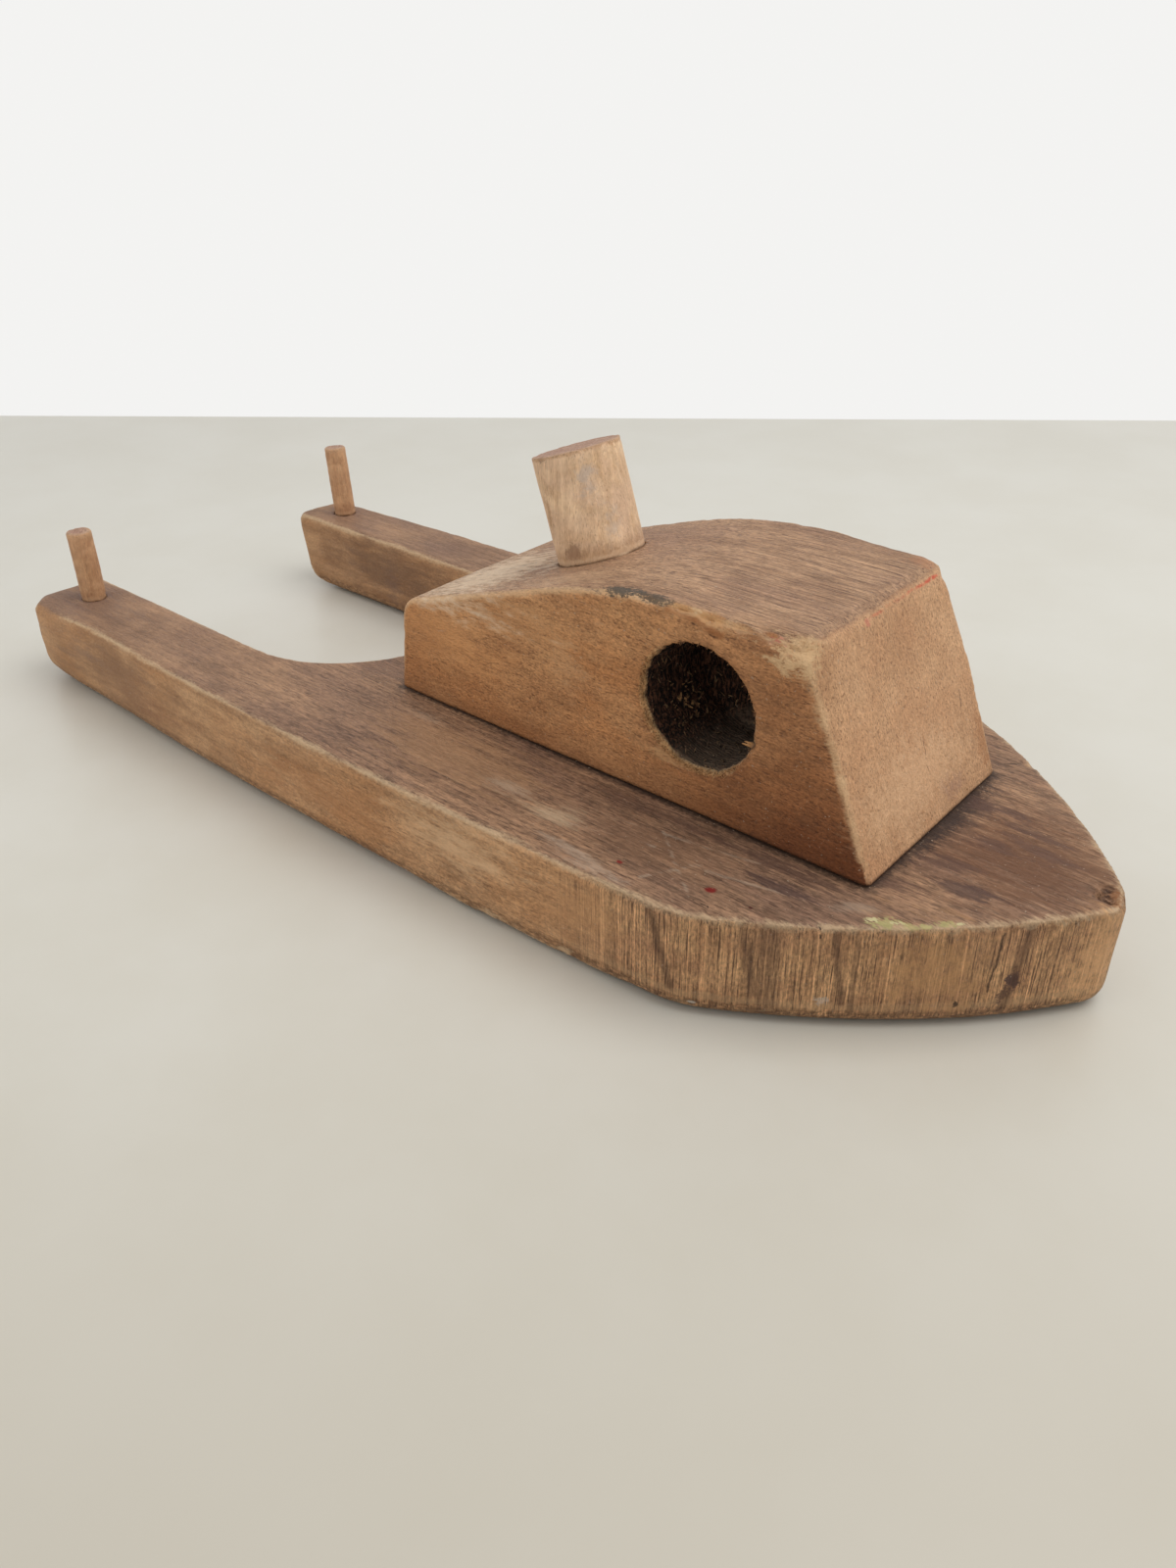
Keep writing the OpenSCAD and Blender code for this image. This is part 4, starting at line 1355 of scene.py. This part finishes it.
@dataclass
class Hull:
    """The sawn plank with its worn edges."""

    cell: float = 0.9
    unevenness: float = 0.22
    hollow: float = 26.0
    small_hollow: float = 7.0
    edge_knock: float = 0.15
    knock_size: float = 3.2
    sharp_from: float = 50.0
    keel_r: float = 4.0
    crisp_keel_r: float = 1.2
    crisp_from: float = 12.0
    crisp_to: float = 74.0
    crisp_rise: float = 14.0
    crisp_fall: float = 12.0
    dents: tuple[Dent, ...] = (
        Dent((135.9, 0.9, 23.4), (2.8, 2.4, 2.6), 2.2, 0.0, 0.6),
        Dent((135.3, 3.6, 23.4), (2.4, 1.6, 2.0), 1.2, 0.0, 0.4),
        Dent((138.2, 1.6, 23.0), (2.6, 4.5, 3.0), 0.8, 0.3, 0.8),
        Dent((86.0, -47.2, 23.0), (2.2, 1.4, 1.6), 0.5, 0.2),
        Dent((102.9, -38.0, 23.0), (2.0, 1.4, 1.6), 0.5, 0.2),
        Dent((107.0, 35.0, 23.0), (2.6, 1.8, 1.8), 0.7, 0.3),
        Dent((46.0, -54.0, 23.0), (7.0, 2.5, 2.5), 0.6, 0.0, 0.2),
        Dent((61.0, -53.0, 23.0), (5.0, 2.5, 2.5), 0.5, 0.0, 0.2),
        Dent((-96.0, -54.5, 23.0), (6.0, 2.0, 2.0), 0.4),
        Dent((-139.0, -40.0, 23.0), (4.0, 9.0, 3.0), 0.6),
    )
    swells: tuple[Dent, ...] = (
        Dent((-128.0, -52.5, 14), (30, 9, 17), 2.85, way=STARBOARD),
        Dent((-135.0, 33.0, 26), (16, 20, 22), 3.0, way=ASTERN),
    )
    rounded: tuple[Rounding, ...] = (
        Rounding((-139.5, -54.3, 11), AHEAD, PORT, 5.5, high=(-120, -44, 30)),
        Rounding((-139.5, -32.8, 11), AHEAD, STARBOARD, 4.0, (-150, -44, -1), (-120, 0, 30)),
        Rounding((-136.8, 35.4, 11), AHEAD, PORT, 3.0, (-150, 0, -1), (-120, 44, 30)),
        Rounding((-135.0, 52.6, 11), AHEAD, STARBOARD, 5.0, low=(-150, 44, -1)),
        Rounding((-139.5, -44.0, 0), AHEAD, UP, 9.0, high=(-120, 0, 30)),
        Rounding((-135.0, 44.0, 0), AHEAD, UP, 12.0, (-150, 0, -1), (-120, 60, 30)),
        Rounding((-139.5, -44.0, 23), AHEAD, DOWN, 4.5, high=(-120, 0, 30)),
        Rounding((-136.8, 44.0, 23), AHEAD, DOWN, 2.0, (-150, 0, -1), (-120, 60, 30)),
        Rounding((-139.5, -54.3, 23), PORT, DOWN, 5.0, high=(-116, 0, 60), fade=18.0),
        Rounding((-137.9, -52.7, 23), (1, 1, 0), DOWN, 5.0, high=(-120, -40, 60)),
        Rounding((-136.2, 36.3, 23), (1, 1, 0), DOWN, 3.0, (-150, 30, 0), (-120, 44, 60)),
    )

    def sharpen_keel(self, surface: Surface) -> None:
        """Takes the lower starboard edge back to its crisper corner where it is less worn.

        Args:
            surface: The plank's points.
        """
        x, y, z = surface.points.T
        along = (np.clip((x - self.crisp_from) / self.crisp_rise, 0, 1)
                 * np.clip((self.crisp_to - x) / self.crisp_fall, 0, 1))
        edge = (z < self.keel_r + 0.3) & (y < 0) & (surface.wear > 0.02)
        share = np.where(edge, along, 0.0) * (self.keel_r - self.crisp_keel_r)
        outward = np.array((0.0, -1.0, -1.0)) - surface.normals
        surface.points += outward * share[:, None] * np.clip(surface.wear * 1.5, 0, 1)[:, None]
        surface.points[:, 2] = np.maximum(surface.points[:, 2], 0.0)

    def build(self) -> None:
        """Shapes, wears and dresses the plank."""
        piece = merged_copy("hull", "plank_hull")
        refine(piece, self.cell)
        surface = Surface(piece.data)
        self.sharpen_keel(surface)
        for swell in self.swells:
            surface.press(swell)
        surface.round_off(self.rounded)
        surface.wander(self.hollow, self.unevenness, 1.0)
        surface.wander(self.small_hollow, self.unevenness * 0.4, 2.0)
        surface.knock_edges(self.knock_size, self.edge_knock, 3.0)
        for dent in self.dents:
            surface.press(dent)
        for foot, lean in PEG_FEET:
            surface.seat(foot, lean, 0.0, PEG_R, self.cell)
        surface.write()
        piece.data.set_sharp_from_angle(angle=math.radians(self.sharp_from))
        finish_piece(piece, "hull", HullFinish().build())


@dataclass(frozen=True)
class Tuft:
    """A kind of torn fibres round a bored hole; 0 degrees is ahead and 90 is up."""

    count: int
    turn: tuple[float, float]
    out: tuple[float, float]
    deep: tuple[float, float]
    length: tuple[float, float]
    thick: tuple[float, float]
    pale: float
    stray: float = 0.9
    inward: float = 1.0


@dataclass
class Cabin:
    """The shaped cabin block, with torn fibres in its portholes."""

    cell: float = 0.62
    unevenness: float = 0.2
    hollow: float = 24.0
    edge_knock: float = 0.25
    knock_size: float = 2.4
    unworn_to: float = 24.0
    worn_over: float = 5.0
    fray: float = 1.5
    bit_pitch: float = 1.4
    bit_depth: float = 0.14
    fuzz: tuple[tuple[float, float, float], ...] = ((1.1, 5.0, 0.45), (2.6, 6.0, 0.3))
    fibre_root: float = 0.3
    fibre_tip: float = 0.25
    fibre_out: float = 0.6
    fibre_sides: int = 5
    seed: int = 7
    marks: tuple[str, str] = ("torn", "bored")
    tufts: tuple[Tuft, ...] = (
        Tuft(130, (0, 360), (1.0, 1.0), (1, 19), (0.9, 2.2), (0.12, 0.2), 0.1),
        Tuft(80, (0, 360), (0.0, 0.95), (19.8, 20), (0.9, 2.2), (0.12, 0.2), 0.1, inward=0.0),
        Tuft(60, (186, 236), (1.0, 1.0), (6, 17), (0.7, 1.6), (0.16, 0.34), 0.3),
        Tuft(16, (194, 222), (1.0, 1.0), (9, 15), (1.0, 2.0), (0.24, 0.4), 0.7),
        Tuft(10, (200, 260), (0.6, 0.95), (19.8, 20), (1.0, 2.0), (0.16, 0.28), 0.35, inward=0.0),
        Tuft(40, (150, 300), (1.0, 1.0), (1, 14), (0.8, 1.8), (0.12, 0.2), 0.35),
        Tuft(230, (150, 315), (1.0, 1.08), (-0.1, 0.4), (0.6, 1.5), (0.08, 0.14), 1.0, 1.4, 0.1),
        Tuft(60, (-60, 150), (0.99, 1.03), (-0.1, 0.5), (0.4, 1.0), (0.07, 0.11), 0.5, 1.2, 0.3),
        Tuft(2, (-16, -10), (1.0, 1.0), (0.1, 0.4), (1.6, 2.0), (0.3, 0.4), 1.0, 0.15),
    )
    rounded: tuple[Rounding, ...] = (
        Rounding((-19.5, 0.0, 44.6), DOWN, (0.951, 0, 0.309), 5.0),
        Rounding((87.2, -24.45, 63.4), (-0.926, 0, -0.378), PORT, 8.0,
                 low=(60, -40, 40), fade=24.0),
        Rounding((80.0, -24.45, 65.2), PORT, DOWN, 5.0, low=(60, -40, 20), fade=20.0),
        Rounding((87.2, 27.05, 63.4), (-0.926, 0, -0.378), STARBOARD, 4.0,
                 low=(60, 0, 46), fade=12.0),
        Rounding((80.0, 27.05, 65.2), STARBOARD, DOWN, 3.5, low=(62, 0, 20), fade=14.0),
    )
    dents: tuple[Dent, ...] = (
        Dent((84.5, -25.0, 64.6), (7.0, 5.0, 4.0), 0.9, 0.0, 1.2),
        Dent((88.0, 27.6, 65.4), (7.0, 7.0, 7.0), 1.2, 0.0, 0.4),
        Dent((60.0, -24.8, 65.3), (5.0, 2.6, 2.4), 1.3, 0.9, 0.8),
        Dent((66.5, -24.8, 65.0), (5.0, 2.8, 2.6), 1.6, 1.0, 0.9),
        Dent((72.5, -24.8, 64.9), (4.0, 2.6, 2.4), 1.2, 0.8, 0.8),
        Dent((78.5, -24.8, 64.9), (4.0, 3.0, 2.6), 1.0, 0.3, 0.8),
        Dent((52.0, -24.8, 64.9), (5.0, 2.4, 2.0), 0.8, 0.3, 0.5),
        Dent((40.0, -24.8, 63.4), (6.0, 2.2, 1.8), 0.5, 0.1, 0.3),
        Dent((22.0, -24.8, 58.0), (7.0, 2.2, 1.8), 0.4, 0.1, 0.2),
        Dent((76.6, -24.6, 42.8), (1.6, 1.6, 1.3), 0.9, 0.4, 0.3),
        Dent((94.0, -24.6, 46.0), (4.0, 2.0, 5.0), 0.5, 0.0, 0.3),
    )

    def grow(self, bm: bmesh.types.BMesh, tuft: Tuft, dice: random.Random, side: int) -> None:
        """Grows one torn fibre in a porthole.

        Args:
            bm: The fibres, in metres, with their marks.
            tuft: The kind of fibre.
            dice: Its random draws.
            side: 1 for the hole to port, -1 for the one to starboard.
        """
        mouth = Vector((PORTHOLE[0], CENTRE_Y + side * CABIN_HALF_W, PORTHOLE[2]))
        flip = Matrix.Scale(-side, 4, PORT)
        turn = math.radians(dice.uniform(*tuft.turn))
        spoke = Vector((math.cos(turn), 0, math.sin(turn)))
        root = spoke * PORTHOLE_R * dice.uniform(*tuft.out)
        root.y = dice.uniform(*tuft.deep)
        stray = Vector([dice.uniform(-tuft.stray, tuft.stray) for _ in range(3)])
        way = spoke * -tuft.inward + stray + Vector((0, -self.fibre_out, 0))
        way.normalize()
        length, thick = dice.uniform(*tuft.length), dice.uniform(*tuft.thick)
        upright = (flip @ way).to_track_quat("Z", "Y").to_matrix().to_4x4()
        at = mouth + flip @ (root + way * (length / 2 - self.fibre_root))
        made = bmesh.ops.create_cone(
            bm, cap_ends=True, cap_tris=True, segments=self.fibre_sides, radius1=thick * MM,
            radius2=thick * self.fibre_tip * MM, depth=length * MM,
            matrix=Matrix.Translation(at * MM) @ upright)
        tip = at + flip @ (way * length / 2)
        torn, bored = (bm.verts.layers.float[name] for name in self.marks)
        for vert in made["verts"]:
            near = max(0.0, 1 - (vert.co / MM - tip).length / length)
            vert[torn] = tuft.pale * (0.4 + 0.6 * near)
            vert[bored] = 1 - 0.8 * vert[torn]

    def torn_fibres(self) -> Mesh:
        """Makes the thin torn fibres of both portholes.

        Returns:
            The fibres, in metres, with their marks.
        """
        bm = bmesh.new()
        for name in self.marks:
            bm.verts.layers.float.new(name)
        dice = random.Random(self.seed)
        for side in (-1, 1):
            for tuft in self.tufts:
                for _ in range(tuft.count):
                    self.grow(bm, tuft, dice, side)
        made = bpy.data.meshes.new("fibres")
        bm.to_mesh(made)
        bm.free()
        return made

    def wear_portholes(self, surface: Surface) -> np.ndarray:
        """Roughens the bored holes and frays their rims.

        Args:
            surface: The cabin's points.

        Returns:
            How far each point belongs to a bored hole.
        """
        off = surface.points - np.array(PORTHOLE)
        around = np.hypot(off[:, 0], off[:, 2])
        deep = CABIN_HALF_W - np.abs(off[:, 1])
        inside = (around < PORTHOLE_R + 0.5) & (deep > 0.3) & (deep < PORTHOLE_DEPTH + 4)
        fuzz = sum(surface.ripple(size, seed) * rise for size, seed, rise in self.fuzz)
        rings = np.sin(deep * math.tau / self.bit_pitch) * self.bit_depth
        surface.sink(np.where(inside, fuzz + rings, 0.0))
        lip = np.hypot(around - PORTHOLE_R, deep)
        frayed = np.clip(1 - lip / self.fray, 0, 1)
        way = off[:, 0] * FRAYED_WAY[0] + off[:, 2] * FRAYED_WAY[2]
        side = np.clip((way / np.maximum(around, 1) + 0.1) / 0.6, 0, 1)
        surface.sink(frayed * side * (0.5 + fuzz))
        surface.torn = np.maximum(surface.torn, np.clip(frayed * 1.6, 0, 1) * side * 0.85)
        surface.wear *= np.where(lip < 2 * self.fray, 0.15, 1.0)
        return np.where(inside, np.clip((deep - 0.4) / 1.2, 0, 1), 0.0)

    def build(self) -> None:
        """Shapes, wears and dresses the cabin."""
        piece = merged_copy("cabin", "cabin_block")
        refine(piece, self.cell)
        surface = Surface(piece.data)
        surface.round_off(self.rounded)
        surface.wear *= np.clip((surface.points[:, 2] - self.unworn_to) / self.worn_over, 0, 1)
        surface.wander(self.hollow, self.unevenness, 1.5)
        bored = self.wear_portholes(surface)
        surface.knock_edges(self.knock_size, self.edge_knock, 3.5)
        for dent in self.dents:
            surface.press(dent)
        surface.seat(FUNNEL_FOOT, ROOF_FALL, ROOF_FALL, FUNNEL_R, self.cell)
        surface.write()
        surface.mark("bored", bored)
        bm = bmesh.new()
        bm.from_mesh(piece.data)
        bm.from_mesh(self.torn_fibres())
        for face in bm.faces:
            face.smooth = True
        bm.to_mesh(piece.data)
        bm.free()
        finish_piece(piece, "cabin", CabinFinish().build())


@dataclass
class Dowel:
    """A turned dowel whose tapered foot sits in its hole and whose end stands free."""

    name: str
    node: str
    slot: str
    skin: Skin
    foot: Place
    lean: float
    radius: float
    out: float
    sunk: float
    gap: float = 0.1
    taper: float = 0.4
    neck: float = 0.05
    end_r: float = 0.8
    cell: float = 0.6
    arc_steps: int = 4
    least_facets: int = 32
    unevenness: float = 0.1
    hollow: float = 6.0
    knock: float = 0.3
    knock_size: float = 2.0
    ring: float = 0.0
    spots: tuple[Spot, ...] = ()

    def profile(self) -> list[tuple[float, float]]:
        """Radius and height along the dowel, from the foot's middle to the end's middle.

        Returns:
            The points.
        """
        toe = self.radius - self.gap - self.taper
        points = [(0.0, -self.sunk), (toe - self.end_r, -self.sunk), (toe, self.end_r - self.sunk),
                  (self.radius - self.gap, 0.0)]
        top = self.out - self.end_r
        rows = math.ceil((top - self.neck) / self.cell)
        points += [(self.radius, self.neck + (top - self.neck) * i / rows) for i in range(rows)]
        for i in range(self.arc_steps + 1):
            turn = math.radians(90 / self.arc_steps * i)
            points.append((self.radius - self.end_r * (1 - math.cos(turn)),
                           top + self.end_r * math.sin(turn)))
        flat = self.radius - self.end_r
        rings = math.ceil(flat / self.cell)
        points += [(flat * (1 - i / rings), self.out) for i in range(1, rings + 1)]
        return points

    def build(self) -> None:
        """Turns, wears and dresses the dowel."""
        bm = lathe(self.profile(), max(self.least_facets, round(math.tau * self.radius / self.cell)))
        settle(bm, self.foot, self.lean)
        piece = as_object(bm, self.name)
        surface = Surface(piece.data)
        surface.wander(self.hollow, self.unevenness, self.out)
        surface.knock_edges(self.knock_size, self.knock, self.out)
        surface.write()
        finish = DowelFinish(f"{self.node}_wood", self.skin, self.foot, self.lean, self.out,
                             self.ring, self.spots)
        finish_piece(piece, self.node, finish.build())


@dataclass
class Screw:
    """A countersunk screw that holds the cabin from below; its head looks down."""

    name: str
    node: str
    x: float
    sunk: float = 0.6
    facets: int = 64
    cutter_size: Place = (16.8, 1.1, 2.6)
    cutter_turn: float = 0.5
    outline: tuple[tuple[float, float], ...] = (
        (0, 0), (3.95, 0), (4.2, 0.12), (4.1, 0.3), (2.35, 2.4), (2.1, 2.9), (2.1, 22.1),
        (1.5, 22.4), (1.5, 30), (0.25, 33), (0, 33),
    )

    def build(self) -> None:
        """Turns the screw, cuts its slot and dresses it."""
        bm = lathe(self.outline, self.facets)
        settle(bm, (self.x, CENTRE_Y, self.sunk), 0)
        piece = as_object(bm, self.name)
        cutter = bmesh.new()
        bmesh.ops.create_cube(cutter, size=1)
        size = Matrix.Diagonal((*self.cutter_size, 1))
        turn = Matrix.Rotation(self.cutter_turn, 4, "Z")
        place = Matrix.Translation((self.x, CENTRE_Y, self.sunk)) @ turn
        bmesh.ops.transform(cutter, matrix=Matrix.Scale(MM, 4) @ place @ size, verts=cutter.verts)
        blade = as_object(cutter, "slot_cutter")
        cut = piece.modifiers.new("slot", "BOOLEAN")
        cut.operation = "DIFFERENCE"
        cut.solver = "EXACT"
        cut.object = blade
        apply_modifiers(piece)
        bpy.data.objects.remove(blade)
        piece.data.set_sharp_from_angle(angle=SHARP)
        finish_piece(piece, self.node, SteelFinish().build())


@dataclass(frozen=True)
class Lamp:
    """A soft square lamp that looks at the boat, with its side and its power in watts."""

    name: str
    at: Place
    side: float
    power: float

    def build(self) -> None:
        """Adds the lamp to the scene."""
        light = bpy.data.lights.new(self.name, "AREA")
        light.size = self.side * MM
        light.energy = self.power
        made = placed_object(self.name, light)
        made.location = Vector(self.at) * MM
        made.rotation_euler = (-Vector(self.at)).to_track_quat("-Z", "Y").to_euler()


@dataclass
class Studio:
    """The pale table, the soft lights and the camera of the photograph."""

    camera_at: Place = (177.79, -184.75, 151.755)
    yaw: float = 41.096
    pitch: float = 31.968
    roll: float = -0.731
    lens: float = 27.61
    sensor: float = 36.0
    clip: tuple[float, float] = (0.01, 20.0)
    far_edge: float = 310.6
    table_turn: float = 37.52
    table_size: float = 1500.0
    table_thick: float = 30.0
    table_round: float = 2.0
    wall_light: float = 0.9
    sky_light: float = 0.62
    sky_colour: tuple[float, float, float, float] = (1.0, 0.995, 0.98, 1.0)
    lamps: tuple[Lamp, ...] = (
        Lamp("key", (420.0, 240.0, 920.0), 800.0, 4.8),
        Lamp("fill", (-500.0, -900.0, 600.0), 900.0, 1.2),
    )

    def ahead(self) -> Vector:
        """The camera's way ahead, level with the table."""
        yaw = math.radians(self.yaw)
        return Vector((-math.sin(yaw), math.cos(yaw), 0))

    def build_table(self) -> None:
        """Makes the table top, whose far edge is the one in the photograph."""
        bm = bmesh.new()
        bmesh.ops.create_cube(bm, size=1)
        deep = self.far_edge + self.table_size
        size = Matrix.Diagonal((2 * self.table_size, deep, self.table_thick, 1))
        turn = Matrix.Rotation(math.radians(self.table_turn), 4, "Z")
        middle = turn @ Vector((0, self.far_edge - deep / 2, -self.table_thick / 2))
        place = Matrix.Scale(MM, 4) @ Matrix.Translation(middle) @ turn @ size
        bmesh.ops.transform(bm, matrix=place, verts=bm.verts)
        bmesh.ops.bevel(bm, geom=bm.edges[:], offset=self.table_round * MM, affect="EDGES",
                        segments=3, profile=0.5, material=-1)
        table = as_object(bm, "table")
        table.data.set_sharp_from_angle(angle=SHARP)
        table.data.materials.append(FloorFinish().build())

    def build_world(self) -> None:
        """Makes a plain sky that the camera sees as a white wall."""
        world = bpy.data.worlds.new("studio")
        bpy.context.scene.world = world
        world.use_nodes = True
        nodes, links = world.node_tree.nodes, world.node_tree.links
        nodes.clear()
        path, seen, glass, level, sky, out = (nodes.new(f"ShaderNode{kind}") for kind in (
            "LightPath", "Math", "Math", "MapRange", "Background", "OutputWorld"))
        seen.operation = glass.operation = "MAXIMUM"
        level.inputs["To Min"].default_value = self.sky_light
        level.inputs["To Max"].default_value = self.wall_light
        sky.inputs["Color"].default_value = self.sky_colour
        for feed, socket in ((path.outputs["Is Camera Ray"], seen.inputs[0]),
                             (path.outputs["Is Glossy Ray"], glass.inputs[0]),
                             (path.outputs["Is Transmission Ray"], glass.inputs[1]),
                             (glass.outputs[0], seen.inputs[1]),
                             (seen.outputs[0], level.inputs["Value"]),
                             (level.outputs["Result"], sky.inputs["Strength"]),
                             (sky.outputs["Background"], out.inputs["Surface"])):
            links.new(feed, socket)

    def build_camera(self) -> None:
        """Sets the camera where the photograph was taken from."""
        yaw, pitch, roll = map(math.radians, (self.yaw, self.pitch, self.roll))
        look = self.ahead() * math.cos(pitch) - Vector((0, 0, math.sin(pitch)))
        level = Vector((math.cos(yaw), math.sin(yaw), 0))
        right = level * math.cos(roll) + level.cross(look) * math.sin(roll)
        up = right.cross(look)
        lens = bpy.data.cameras.new("camera")
        lens.sensor_fit = "AUTO"
        lens.sensor_width = self.sensor
        lens.lens = self.lens
        lens.clip_start, lens.clip_end = self.clip
        eye = placed_object("camera", lens)
        turn = Matrix((right, up, -look)).transposed().to_4x4()
        eye.matrix_world = Matrix.Translation(Vector(self.camera_at) * MM) @ turn
        bpy.context.scene.camera = eye

    def build(self) -> None:
        """Builds the whole studio."""
        self.build_table()
        self.build_world()
        for lamp in self.lamps:
            lamp.build()
        self.build_camera()
        bpy.context.scene.view_settings.view_transform = "Standard"


def dowels() -> tuple[Dowel, ...]:
    """The funnel and the two band pegs.

    Returns:
        The three dowels.
    """
    peg = {"slot": "peg_wood", "skin": PEG_SIDE, "radius": PEG_R, "sunk": 14.0, "cell": 0.5}
    (starboard, upright), (port, lean) = PEG_FEET
    marks = (
        Spot((21.7, -5.2, 75.8), (3, 3, 5), Colour(196, 180, 168), 0.6, 0, 1.2, 0.4, 0.9),
        Spot((27.0, -3.0, 68.0), (3, 3, 6), Colour(214, 196, 180), 0.5, 0, 1.2, 0.4, 0.9),
        # A brown strip down the funnel's flank turned from the light: painted shade
        Spot((13.0, -8.4, 66.0), (2.4, 2.8, 12), Colour(164, 120, 78), 0.6, 0, 1.2, 0.4, 0.9),
        Spot((20.5, -8.1, 60.4), (2.6, 2.0, 3.0), Colour(132, 98, 76), 0.6, 0, 1.0, 0.6, 0.7),
        Spot((11.0, -8.2, 78.6), (2.6, 2.2, 1.2), Colour(112, 92, 80), 0.7, 0, 1.0, 0.6, 0.7),
    )
    return (
        Dowel("funnel_dowel", "funnel", "funnel_wood", DOWEL_SIDE, FUNNEL_FOOT, ROOF_FALL,
              radius=FUNNEL_R, out=22.85, sunk=15.0, end_r=0.35, ring=0.3, spots=marks),
        Dowel("starboard_band_peg", "starboard_peg", foot=starboard, lean=upright, out=19.0, **peg),
        Dowel("port_band_peg", "port_peg", foot=port, lean=lean, out=21.0, **peg),
    )


def main() -> None:
    """Builds the boat and its studio."""
    logging.basicConfig(level=logging.INFO, format="%(message)s")
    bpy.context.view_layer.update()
    Hull().build()
    Cabin().build()
    for dowel in dowels():
        dowel.build()
    Screw("front_wood_screw", "front_cabin_screw", 89.5).build()
    Screw("rear_wood_screw", "rear_cabin_screw", 2.5).build()
    Studio().build()


if __name__ == "__main__":
    main()
